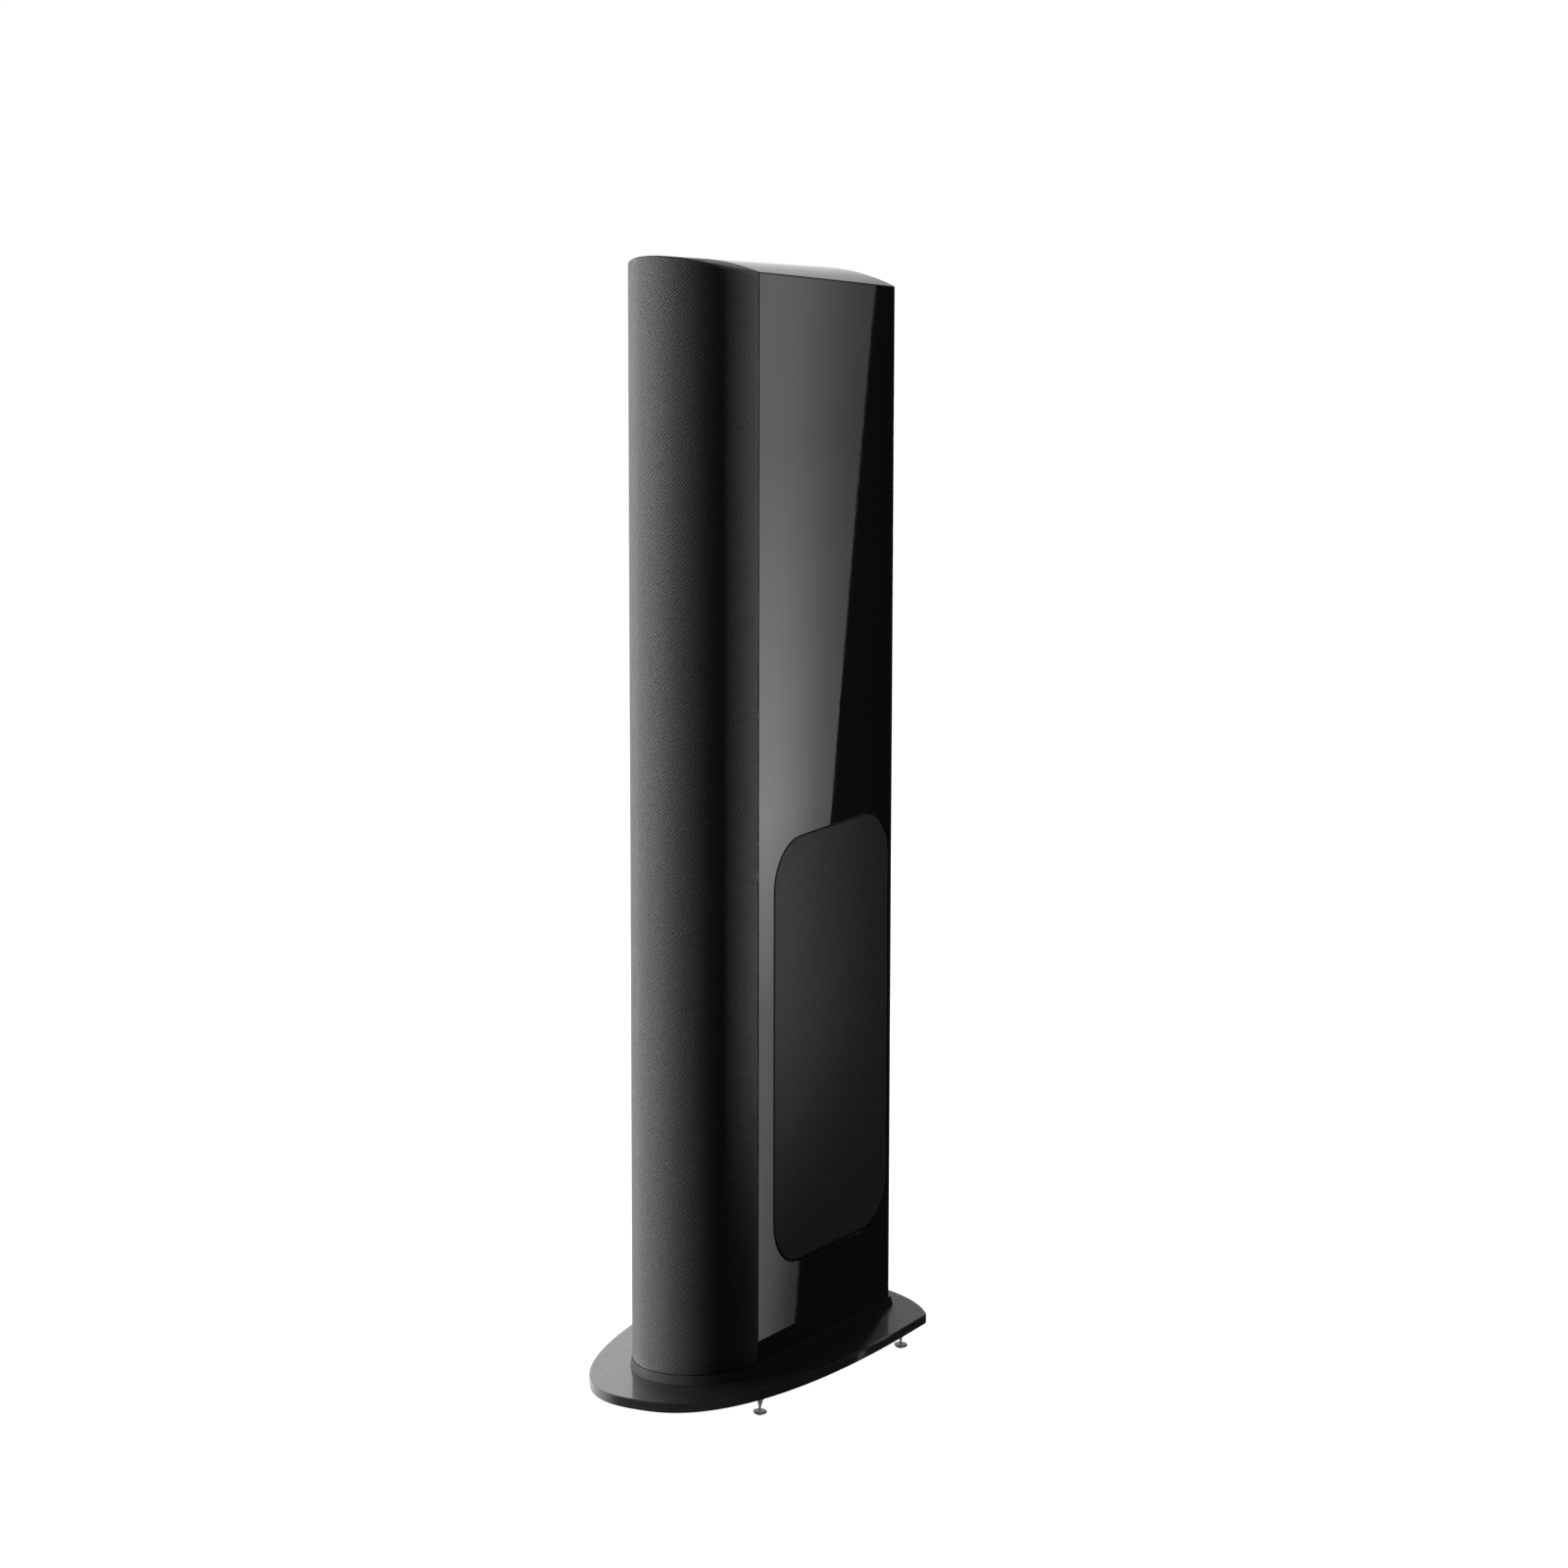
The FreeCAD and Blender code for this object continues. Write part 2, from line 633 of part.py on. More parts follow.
def radiator_panel():
    """Flat diaphragm with a stiffening step and a tuning weight on its back."""
    front = RADIATOR_LEDGE_Z
    plate = racetrack(RADIATOR_PLATE, RADIATOR_STRAIGHT, front - 6, front)
    weight = racetrack(22, 0, front - 9, front - 6)
    return joined([plate, weight])


def tweeter_pieces():
    """Faceplate with a flared slot, magnet frame behind it, and the pleated ribbon."""
    depth = TWEETER_FACE_DEPTH
    half_x, half_y = RIBBON_HALF
    yoke_x, yoke_y, yoke_depth = TWEETER_YOKE
    face = rounded_rectangle(*TWEETER_FACE, TWEETER_CORNER, -depth, 0)
    slot = Part.makeLoft([slot_wire(30, 62, 0.01), slot_wire(24, 56, -depth - 0.01)], True, True)
    window = box((-half_x - 1, half_x + 1), (-half_y - 1, half_y + 1), (-30, -depth))
    yoke = box((-yoke_x, yoke_x), (-yoke_y, yoke_y), (-yoke_depth, -depth)).cut(window)
    bars = [box(sorted((s * half_x, s * (half_x + 1))), (-half_y, half_y), (-8, -5)) for s in (-1, 1)]
    pleats = 15
    sheet = 0.25
    front = []
    for i in range(pleats + 1):
        x = -half_x + 2 * half_x * i / pleats
        front.append((x, -5.2 if i % 2 else -7.6))
    zigzag = front + [(x, z - sheet) for x, z in reversed(front)]
    corners = [V(x, -half_y, z) for x, z in zigzag]
    ribbon = Part.Face(Part.makePolygon(corners + corners[:1])).extrude(V(0, 2 * half_y, 0))
    return face.cut(slot), joined([yoke] + bars), ribbon


def slot_wire(width, height, z):
    w, h = width / 2, height / 2
    corners = [V(-w, -h, z), V(w, -h, z), V(w, h, z), V(-w, h, z)]
    return Part.makePolygon(corners + corners[:1])


# ---------------------------------------------------------------- driver fasteners
def ring_of_screws(radius, straight, count, face, length):
    """Screw places round a circle or racetrack flange, as solids and as hole tools."""
    screws, holes = [], []
    for i in range(count):
        angle = 2 * math.pi * (i + 0.5) / count
        x, y = radius * math.cos(angle), radius * math.sin(angle)
        y += math.copysign(straight / 2, y)
        head = rod(SCREW_HEAD_RADIUS, (x, y, face), (x, y, face + SCREW_HEAD))
        head = head.cut(rod(1.3, (x, y, face + 0.8), (x, y, face + SCREW_HEAD)))
        shank = rod(SCREW_RADIUS, (x, y, face - length), (x, y, face))
        screws.append(head.fuse(shank).removeSplitter())
        holes.append(shank)
    return screws, holes


def tweeter_screws():
    screws, holes = [], []
    for x in (-32, 32):
        for y in (-42, 42):
            head = rod(2.6, (x, y, 0), (x, y, 1.6))
            shank = rod(SCREW_RADIUS, (x, y, -15), (x, y, 0))
            screws.append(head.fuse(shank).removeSplitter())
            holes.append(shank)
    return screws, holes


MID_SCREWS = ring_of_screws(51, 0, 6, 0, 16)
WOOFER_SCREWS = ring_of_screws(56, WOOFER_STRAIGHT, 8, 0, 16)
RADIATOR_SCREWS = ring_of_screws(96.5, RADIATOR_STRAIGHT, 10, RADIATOR_FLANGE_Z[1], 10)
TWEETER_SCREWS = tweeter_screws()


def driver_layout():
    """Every front driver as (height, screws, hole tools)."""
    layout = [(TWEETER_Z, *TWEETER_SCREWS)]
    layout += [(z, *MID_SCREWS) for z in MID_Z.values()]
    layout += [(z, *WOOFER_SCREWS) for z in WOOFER_Z.values()]
    return layout


def make_drivers():
    face, motor, ribbon = tweeter_pieces()
    export("tweeter_faceplate", on_front(cut_all(face, TWEETER_SCREWS[1]), TWEETER_Z))
    export("tweeter_motor", on_front(motor, TWEETER_Z))
    export("tweeter_ribbon", on_front(ribbon, TWEETER_Z))
    kinds = (
        ("mid", MID_Z, MID_SCREWS, mid_basket, mid_motor, mid_cone, mid_suspension),
        ("woofer", WOOFER_Z, WOOFER_SCREWS, woofer_basket, woofer_motor, woofer_cone, woofer_suspension),
    )
    for kind, places, screws, basket, magnets, cone, suspension in kinds:
        frame = cut_all(basket(), screws[1])
        baskets = [on_front(frame, z) for z in places.values()]
        motors = [on_front(piece, z) for z in places.values() for piece in magnets()]
        export(kind + "_baskets", Part.makeCompound(baskets))
        export(kind + "_motors", Part.makeCompound(motors))
        for level, z in places.items():
            export(level + "_" + kind + "_cone", on_front(cone(), z))
            pieces = [on_front(piece, z) for piece in suspension()]
            export(level + "_" + kind + "_suspension", Part.makeCompound(pieces))
    side_frame = on_right_side(cut_all(radiator_frame(), RADIATOR_SCREWS[1]))
    export("radiator_frames", Part.makeCompound([side_frame, mirrored(side_frame)]))
    export_pair("radiator_surround", radiator_surround())
    export_pair("radiator_panel", radiator_panel())
    screws = [on_front(s, z) for z, solids, _ in driver_layout() for s in solids]
    side_screws = [on_right_side(s) for s in RADIATOR_SCREWS[0]]
    screws += side_screws + [mirrored(s) for s in side_screws]
    export("driver_screws", Part.makeCompound(screws))


# ---------------------------------------------------------------- cabinet panels
def side_panel():
    """The right panel: tapered plan, rounded rear corner, grille recess, radiator hole."""
    inner_front, inner_rear = half_width(SEAM_Y, PANEL), half_width(REAR_Y, PANEL)
    plan = [(inner_front, SEAM_Y), (HALF_WIDTH_FRONT, SEAM_Y)]
    plan += [(HALF_WIDTH_REAR, REAR_Y), (inner_rear, REAR_Y)]
    panel = prism(plan, (CABINET_BOTTOM, ABOVE_ALL))
    panel = panel.makeFillet(REAR_CORNER_RADIUS, rear_corner_edges(panel)).cut(above_cap_plane())
    recess = rounded_rectangle(*SIDE_GRILLE_SIZE, SIDE_GRILLE_CORNER, -SIDE_GRILLE_DEPTH, 5)
    panel = panel.cut(on_right_side(recess))
    half_length, half_height = [s / 2 + 1 for s in SIDE_GRILLE_SIZE]
    rim = side_edges_within(panel, half_length, half_height)
    panel = panel.makeFillet(SIDE_GRILLE_EDGE_ROUND, rim)
    tools = [
        racetrack(RADIATOR_FLANGE + RECESS_GAP, RADIATOR_STRAIGHT, RADIATOR_FLANGE_Z[0], 5),
        racetrack(RADIATOR_HOLE + RECESS_GAP, RADIATOR_STRAIGHT, -40, 5),
    ]
    tools += RADIATOR_SCREWS[1]
    for x, y in SIDE_PEG_PLACES:
        tools.append(rod(PEG_RADIUS + FIT_GAP, (x, y, -SIDE_PEG_DEPTH - 0.5), (x, y, 5)))
    return cut_all(panel, [on_right_side(t) for t in tools])


def top_cap():
    """Crowned top board, with its long and rear edges rounded."""
    half_front, half_rear = HALF_WIDTH_FRONT, HALF_WIDTH_REAR
    plan = [(-half_front, SEAM_Y), (half_front, SEAM_Y), (half_rear, REAR_Y), (-half_rear, REAR_Y)]
    block = prism(plan, (1100.0, ABOVE_ALL))
    block = block.makeFillet(REAR_CORNER_RADIUS, rear_corner_edges(block))
    block = block.common(above_cap_plane()).cut(above_crown())
    crown = max(block.Faces, key=lambda f: f.Area if "Cylinder" in str(f.Surface) else 0)
    rounded = [e for e in crown.Edges if max(v.Point.y for v in e.Vertexes) > SEAM_Y + 1]
    return block.makeFillet(CAP_EDGE_ROUND, rounded)


def front_baffle():
    baffle = box((-BAFFLE_HALF_WIDTH, BAFFLE_HALF_WIDTH), (BAFFLE_FRONT_Y, SEAM_Y), BAFFLE_Z)
    tools = []
    for z in MID_Z.values():
        tools.append(on_front(racetrack(MID_FLANGE + RECESS_GAP, 0, -MID_FLANGE_DEPTH, 5), z))
        tools.append(on_front(racetrack(MID_HOLE, 0, -BAFFLE_POCKET, 5), z))
    for z in WOOFER_Z.values():
        recess = racetrack(WOOFER_FLANGE + RECESS_GAP, WOOFER_STRAIGHT, -WOOFER_FLANGE_DEPTH, 5)
        tools.append(on_front(recess, z))
        tools.append(on_front(racetrack(WOOFER_HOLE, WOOFER_STRAIGHT, -BAFFLE_POCKET, 5), z))
    width, height = [s + 2 * RECESS_GAP for s in TWEETER_FACE]
    pocket = rounded_rectangle(width, height, TWEETER_CORNER + RECESS_GAP, -TWEETER_FACE_DEPTH, 5)
    yoke_x, yoke_y = [s + 0.5 for s in TWEETER_YOKE[:2]]
    tools.append(on_front(pocket, TWEETER_Z))
    tools.append(on_front(box((-yoke_x, yoke_x), (-yoke_y, yoke_y), (-BAFFLE_POCKET, 0)), TWEETER_Z))
    tools += [on_front(hole, z) for z, _, holes in driver_layout() for hole in holes]
    outer_y, inner_y = BAFFLE_FRONT_Y - 1, BAFFLE_FRONT_Y + SOCKET_DEPTH
    tools += [rod(SOCKET_RADIUS, (x, outer_y, z), (x, inner_y, z)) for x, z in grille_peg_places()]
    return cut_all(baffle, tools)


def grille_peg_places():
    return [(s * GRILLE_PEG_X, z) for z in GRILLE_PEG_Z for s in (-1, 1)]


def grille_sockets():
    cups = []
    bottom_y = BAFFLE_FRONT_Y + SOCKET_DEPTH
    for x, z in grille_peg_places():
        mouth = (x, BAFFLE_FRONT_Y, z)
        cup = rod(SOCKET_RADIUS, mouth, (x, bottom_y, z))
        cups.append(cup.cut(rod(PEG_RADIUS + FIT_GAP, mouth, (x, bottom_y - 2, z))))
    return cups


def internal_shelves():
    shelves = []
    for z in SHELF_Z:
        shelf = between_sides((SEAM_Y, INNER_REAR_Y), (z, z + BOARD))
        if z == SHELF_Z[1]:
            shelf = shelf.cut(box((-34, 34), (SEAM_Y + 70, SEAM_Y + 200), (z - 1, z + BOARD + 1)))
        shelves.append(shelf)
    return [cut_all(shelves[0], bolt_holes())] + shelves[1:]


def window_brace():
    """Upright braces with windows, one in each upper chamber."""
    braces = []
    brace_y = [SEAM_Y + d for d in BRACE_BEHIND_SEAM]
    for low, high in ((SHELF_Z[1] + BOARD, SHELF_Z[2]), (SHELF_Z[2] + BOARD, ABOVE_ALL)):
        brace = between_sides(brace_y, (low, high)).cut(above_cap_plane())
        top = min(high, cap_underside(brace_y[1]))
        middle = (low + top) / 2
        gap = (top - low) / 2 - 18
        for z in (middle - gap / 2, middle + gap / 2):
            reach = gap / 2 - 9
            brace = brace.cut(box((-38, 38), (brace_y[0] - 1, brace_y[1] + 1), (z - reach, z + reach)))
        braces.append(brace)
    return braces


def rear_panel():
    panel = between_sides((INNER_REAR_Y, REAR_Y), (CABINET_BOTTOM, ABOVE_ALL)).cut(above_cap_plane())
    half, low, high = AMP_OPENING
    opening = box((-half, half), (INNER_REAR_Y - 5, REAR_Y + 5), (low, high))
    return cut_all(panel, [opening] + panel_screws()[1])


def make_cabinet():
    right = side_panel()
    export("side_panel_right", right)
    export("side_panel_left", mirrored(right))
    export("top_cap", top_cap())
    export("front_baffle", front_baffle())
    export("grille_sockets", Part.makeCompound(grille_sockets()))
    export("internal_shelves", Part.makeCompound(internal_shelves()))
    export("window_brace", Part.makeCompound(window_brace()))
    export("rear_panel", rear_panel())


# ---------------------------------------------------------------- grilles
def bow_solid(inset, low, lowered):
    """The space inside the bow: half ellipse in plan, up to the crown surface."""
    a, b = BOW_HALF_WIDTH - inset, BOW_DEPTH - inset
    ellipse = Part.Ellipse(V(0, SEAM_Y - b, low), V(a, SEAM_Y, low), V(0, SEAM_Y, low))
    disc = Part.Face(Part.Wire([ellipse.toShape()])).extrude(V(0, 0, 1250 - low))
    behind = box((-FAR, FAR), (SEAM_Y - GRILLE_BACK_GAP, SEAM_Y + 120), (0, ABOVE_ALL))
    return disc.cut(behind).cut(above_crown(lowered))


def grille_slab(low, high, front=SEAM_Y - FAR, back=SEAM_Y):
    """A block right across the grille between two heights."""
    return box((-FAR, FAR), (front, back), (low, high))


def front_grille_cloth():
    outer = bow_solid(0.0, GRILLE_BOTTOM, 0.0)
    return outer.cut(bow_solid(CLOTH, GRILLE_BOTTOM - 5, CLOTH))


def front_grille_frame():
    """Bow-shaped ribs on two side rails, with end plates, posts and pegs."""
    whole = bow_solid(FRAME_INSET, GRILLE_BOTTOM, FRAME_INSET)
    shell = whole.cut(bow_solid(FRAME_INSET + BAND, 0.0, FRAME_INSET + END_PLATE))
    floor_top = GRILLE_BOTTOM + END_PLATE
    keep = [grille_slab(0, ABOVE_ALL, front=SEAM_Y - RAIL_DEPTH)]
    keep += [grille_slab(z - RIB / 2, z + RIB / 2) for z in RIB_Z]
    keep.append(grille_slab(CAP_UNDERSIDE_AT_SEAM + 11, ABOVE_ALL))
    keep.append(grille_slab(GRILLE_BOTTOM, floor_top))
    frame = shell.common(keep[0].multiFuse(keep[1:]))
    floor = whole.common(grille_slab(GRILLE_BOTTOM, floor_top, back=BAFFLE_FRONT_Y - 1))
    parts = [frame, floor]
    for x, z in grille_peg_places():
        face = BAFFLE_FRONT_Y - 0.3
        post = rod(RIB / 2 + 1, (x, SEAM_Y - 58, z), (x, face, z))
        parts.append(post.common(whole))
        parts.append(rod(PEG_RADIUS, (x, face - 1, z), (x, BAFFLE_FRONT_Y + SOCKET_DEPTH - 3, z)))
    return joined(parts)


def side_grille_frame():
    """Rounded ring with two cross bars and four pegs, drawn on the side's outer face."""
    back, front = -SIDE_GRILLE_DEPTH + 0.4, -CLOTH
    width, height = [s - 2 * SIDE_GRILLE_GAP for s in SIDE_GRILLE_SIZE]
    corner = SIDE_GRILLE_CORNER - SIDE_GRILLE_GAP
    rim = SIDE_FRAME_RIM
    outside = rounded_rectangle(width, height, corner, back, front)
    inside = rounded_rectangle(width - 2 * rim, height - 2 * rim, corner - rim, back - 1, front + 1)
    parts = [outside.cut(inside)]
    for y in (-76, 76):
        parts.append(box((-width / 2 + 6, width / 2 - 6), (y - 4, y + 4), (back + 2, front)))
    for x, y in SIDE_PEG_PLACES:
        parts.append(rod(PEG_RADIUS, (x, y, -SIDE_PEG_DEPTH), (x, y, back + 1)))
    return joined(parts)


def side_grille_cloth():
    width, height = [s - 2 * SIDE_GRILLE_GAP for s in SIDE_GRILLE_SIZE]
    return rounded_rectangle(width, height, SIDE_GRILLE_CORNER - SIDE_GRILLE_GAP, -CLOTH, 0)


def make_grilles():
    export("front_grille_cloth", front_grille_cloth())
    export("front_grille_frame", front_grille_frame())
    export_pair("grille_frame", side_grille_frame())
    export_pair("grille_cloth", side_grille_cloth())


# ---------------------------------------------------------------- rear plate and electronics
def y_rod(radius, x, z, y_from, y_to):
    return rod(radius, (x, y_from, z), (x, y_to, z))


def panel_screws():
    """The rear plate's screws, as solids and as hole tools."""
    screws, holes = [], []
    low, high = AMP_PLATE_Z[0] + 5, AMP_PLATE_Z[1] - 5
    for x in (-53, 53):
        for i in range(5):
            z = low + (high - low) * i / 4
            head = y_rod(3.0, x, z, PLATE_FACE_Y, PLATE_FACE_Y + 1.8)
            shank = y_rod(SCREW_RADIUS, x, z, REAR_Y - 12, PLATE_FACE_Y)
            socket = y_rod(1.2, x, z, PLATE_FACE_Y + 0.6, PLATE_FACE_Y + 2)
            screws.append(head.fuse(shank).cut(socket))
            holes.append(shank)
    return screws, holes


def amp_plate():
    plate = box((-AMP_PLATE_HALF_WIDTH, AMP_PLATE_HALF_WIDTH), (REAR_Y, PLATE_FACE_Y), AMP_PLATE_Z)
    far_in, far_out = REAR_Y - 1, PLATE_FACE_Y + 1
    half_x, half_z = INLET_HOLE
    tools = [
        box((-half_x, half_x), (far_in, far_out), (INLET_Z - half_z, INLET_Z + half_z)),
        y_rod(JACK_BODY, *JACK_PLACE, far_in, far_out),
        y_rod(KNOB_SHAFT + SHAFT_GAP, *KNOB_PLACE, far_in, far_out),
    ]
    tools += [y_rod(POST_BODY, x, POST_Z, far_in, far_out) for x in (-POST_HALF_SPACING, POST_HALF_SPACING)]
    return cut_all(plate, tools + panel_screws()[1])


def heat_sink():
    """Finned block on the plate's outside."""
    base_y = PLATE_FACE_Y + HEAT_SINK_BASE
    half = HEAT_SINK_HALF_WIDTH
    parts = [box((-half, half), (PLATE_FACE_Y, base_y), HEAT_SINK_Z)]
    for i in range(FINS):
        x = -half + (2 * half - FIN) * i / (FINS - 1)
        parts.append(box((x, x + FIN), (base_y, base_y + FIN_HEIGHT), HEAT_SINK_Z))
    return joined(parts)


def ac_inlet():
    """Appliance inlet: flanged body with a keyed cavity and three blades."""
    half_x, half_z = INLET_HOLE
    depth = REAR_Y - 14
    body = box((-half_x, half_x), (depth, PLATE_FACE_Y), (INLET_Z - half_z, INLET_Z + half_z))
    flange = box((-25, 25), (PLATE_FACE_Y, PLATE_FACE_Y + 2.5), (INLET_Z - 14, INLET_Z + 14))
    cavity = box((-12.3, 12.3), (REAR_Y - 11, PLATE_FACE_Y + 3), (INLET_Z - 8.3, INLET_Z + 8.3))
    keys = [e for e in cavity.Edges if abs(e.tangentAt(0).y) > 0.9 and e.CenterOfMass.z > INLET_Z]
    housing = joined([body, flange]).cut(cavity.makeChamfer(3.0, keys))
    blades = []
    for x, z in ((-7, -1.5), (0, 2.5), (7, -1.5)):
        blade_z = INLET_Z + z
        blades.append(box((x - 1, x + 1), (REAR_Y - 11, REAR_Y - 1), (blade_z - 2, blade_z + 2)))
    return [housing] + blades


def input_jack():
    x, z = JACK_PLACE
    barrel = y_rod(4.15, x, z, PLATE_FACE_Y, PLATE_FACE_Y + 10)
    nut = y_rod(7.0, x, z, PLATE_FACE_Y, PLATE_FACE_Y + 2)
    inner = y_rod(JACK_BODY, x, z, REAR_Y - 12, PLATE_FACE_Y)
    return joined([barrel, nut, inner]).cut(y_rod(1.6, x, z, PLATE_FACE_Y + 1, PLATE_FACE_Y + 11))


def binding_post(x):
    """Insulating bush and a hollow threaded stud."""
    bush = y_rod(BUSH_RADIUS, x, POST_Z, PLATE_FACE_Y, PLATE_FACE_Y + POST_BUSH)
    sleeve = y_rod(POST_BODY, x, POST_Z, REAR_Y - 3, PLATE_FACE_Y)
    stud = y_rod(THREAD_RADIUS, x, POST_Z, REAR_Y - 14, PLATE_FACE_Y + POST_END)
    bore_from = PLATE_FACE_Y + POST_END - POST_BORE_DEPTH
    bore = y_rod(POST_BORE, x, POST_Z, bore_from, PLATE_FACE_Y + POST_END + 1)
    return joined([bush, sleeve, stud]).cut(bore)


def post_washer(x):
    low = PLATE_FACE_Y + POST_BUSH + TOUCH_GAP
    blank = y_rod(POST_WASHER_RADIUS, x, POST_Z, low, low + POST_WASHER)
    return blank.cut(y_rod(THREAD_RADIUS + 0.3, x, POST_Z, low - 1, low + 5))


def post_cap(x):
    """Fluted clamping cap on the stud."""
    low = PLATE_FACE_Y + POST_BUSH + POST_WASHER + 2 * TOUCH_GAP
    cap = y_rod(POST_CAP_RADIUS, x, POST_Z, low, low + POST_CAP)
    tools = [y_rod(THREAD_RADIUS + THREAD_CLEARANCE, x, POST_Z, low - 1, low + POST_CAP + 1)]
    flutes = 10
    for i in range(flutes):
        angle = 2 * math.pi * i / flutes
        out = POST_CAP_RADIUS + 0.7
        fx, fz = x + out * math.cos(angle), POST_Z + out * math.sin(angle)
        tools.append(y_rod(1.3, fx, fz, low + 2, low + POST_CAP + 1))
    return cut_all(cap, tools)


def level_knob():
    """Fluted knob with a pointer notch, on its shaft."""
    x, z = KNOB_PLACE
    low = PLATE_FACE_Y + 0.8
    high = low + KNOB_HEIGHT
    cap = y_rod(KNOB_RADIUS, x, z, low, high)
    shaft = y_rod(KNOB_SHAFT, x, z, REAR_Y - 8, low + 2)
    tools = [box((x - 0.6, x + 0.6), (high - 1, high + 1), (z + 3, z + 11))]
    flutes = 18
    for i in range(flutes):
        angle = 2 * math.pi * (i + 0.5) / flutes
        out = KNOB_RADIUS + 0.6
        fx, fz = x + out * math.cos(angle), z + out * math.sin(angle)
        tools.append(y_rod(1.2, fx, fz, low + 2, high + 1))
    return joined([cut_all(cap, tools), shaft])


def amp_module():
    """Board on standoffs, capacitors, coils, transformer and the level control's body."""
    board_y = REAR_Y - 31.6
    board = box((-42, 42), (board_y, board_y + 1.6), (200, 366))
    parts = [board]
    for x in (-38, 38):
        for z in (206, 360):
            parts.append(y_rod(3, x, z, board_y + 1.6, REAR_Y))
    for x, z in ((-22, 330), (6, 330), (-22, 300)):
        parts.append(y_rod(11, x, z, board_y - 28, board_y))
    for x, z in ((18, 285), (18, 250)):
        parts.append(y_rod(12, x, z, board_y - 12, board_y).cut(y_rod(6, x, z, board_y - 13, board_y)))
    parts.append(box((-34, -6), (board_y - 16, board_y), (212, 280)))
    toroid_y = (REAR_Y - 38, REAR_Y - 4)
    toroid_z = 160.0
    ring = tube(34, 11, (0, toroid_y[0], toroid_z), (0, toroid_y[1], toroid_z))
    clamp = y_rod(20, 0, toroid_z, toroid_y[0] - 2, toroid_y[0])
    bolt = y_rod(3, 0, toroid_z, toroid_y[0], REAR_Y)
    parts += [ring, clamp.fuse(bolt).removeSplitter()]
    x, z = KNOB_PLACE
    body = box((x - 8, x + 8), (REAR_Y - 10, REAR_Y), (z - 8, z + 8))
    parts.append(body.cut(y_rod(KNOB_SHAFT + SHAFT_GAP, x, z, REAR_Y - 9, REAR_Y + 1)))
    return parts


def crossover_board():
    """Filter board on the rear panel's inside, with air coils and capacitors."""
    board_y = INNER_REAR_Y - 8
    low, high = 420.0, 560.0
    parts = [box((-45, 45), (board_y - 1.6, board_y), (low, high))]
    for x in (-40, 40):
        for z in (low + 6, high - 6):
            parts.append(y_rod(3, x, z, board_y, INNER_REAR_Y))
    face = board_y - 1.6
    for x, z, r in ((-22, 535, 17), (22, 530, 15), (-20, 450, 19)):
        parts.append(tube(r, r * 0.45, (x, face - 16, z), (x, face, z)))
    for x, z, r in ((22, 495, 8), (22, 470, 9), (22, 442, 8)):
        parts.append(rod(r, (x - 20, face - r, z), (x + 20, face - r, z)))
    return parts


def make_electronics():
    export("amp_plate", amp_plate())
    export("panel_screws", Part.makeCompound(panel_screws()[0]))
    export("heat_sink", heat_sink())
    export("ac_inlet", Part.makeCompound(ac_inlet()))
    export("input_jack", input_jack())
    export("amp_module", Part.makeCompound(amp_module()))
    export("crossover_board", Part.makeCompound(crossover_board()))
    export("level_knob", level_knob())
    sides = {"red": POST_HALF_SPACING, "black": -POST_HALF_SPACING}
    export("binding_posts", Part.makeCompound([binding_post(x) for x in sides.values()]))
    for colour, x in sides.items():
        export(colour + "_post_washer", post_washer(x))
        export(colour + "_post_cap", post_cap(x))


os.makedirs("parts", exist_ok=True)
make_base()
make_cabinet()
make_drivers()
make_grilles()
make_electronics()
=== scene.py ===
"""Looks of a floorstanding loudspeaker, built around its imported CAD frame. Metres, +Z up."""

import json
import math

import bmesh
import bpy
from mathutils import Matrix, Vector


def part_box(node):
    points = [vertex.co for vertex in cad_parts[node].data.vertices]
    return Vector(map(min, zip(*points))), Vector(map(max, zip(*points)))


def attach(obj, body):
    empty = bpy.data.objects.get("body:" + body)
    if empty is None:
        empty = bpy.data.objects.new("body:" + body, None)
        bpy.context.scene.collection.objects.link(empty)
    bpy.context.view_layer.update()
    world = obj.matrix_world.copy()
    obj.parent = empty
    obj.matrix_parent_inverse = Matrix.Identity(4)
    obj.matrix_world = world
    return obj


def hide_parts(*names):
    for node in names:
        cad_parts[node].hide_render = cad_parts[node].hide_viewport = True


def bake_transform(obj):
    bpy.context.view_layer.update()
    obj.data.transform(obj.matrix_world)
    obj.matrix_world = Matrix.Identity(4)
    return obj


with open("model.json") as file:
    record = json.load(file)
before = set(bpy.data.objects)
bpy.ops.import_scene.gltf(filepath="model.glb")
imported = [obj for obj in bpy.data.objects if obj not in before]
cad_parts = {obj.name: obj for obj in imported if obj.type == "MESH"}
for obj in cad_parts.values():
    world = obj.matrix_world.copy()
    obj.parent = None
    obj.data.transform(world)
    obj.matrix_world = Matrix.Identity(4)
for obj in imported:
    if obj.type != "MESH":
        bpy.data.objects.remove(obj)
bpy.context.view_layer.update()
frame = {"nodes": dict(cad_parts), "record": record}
nodes = frame["nodes"]

# ---------------------------------------------------------------- places taken from the frame
SEAM_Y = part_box("side_panel_right")[0].y
REAR_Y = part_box("side_panel_right")[1].y
PANEL_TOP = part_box("side_panel_right")[1].z
HALF_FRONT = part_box("front_grille_cloth")[1].x
HALF_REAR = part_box("side_panel_right")[1].x
TAPER = math.atan((HALF_REAR - HALF_FRONT) / (REAR_Y - SEAM_Y))
BOW_TIP_Y, GRILLE_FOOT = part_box("front_grille_cloth")[0].y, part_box("front_grille_cloth")[0].z
BOW_DEPTH = SEAM_Y - BOW_TIP_Y
BAFFLE_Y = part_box("front_baffle")[0].y

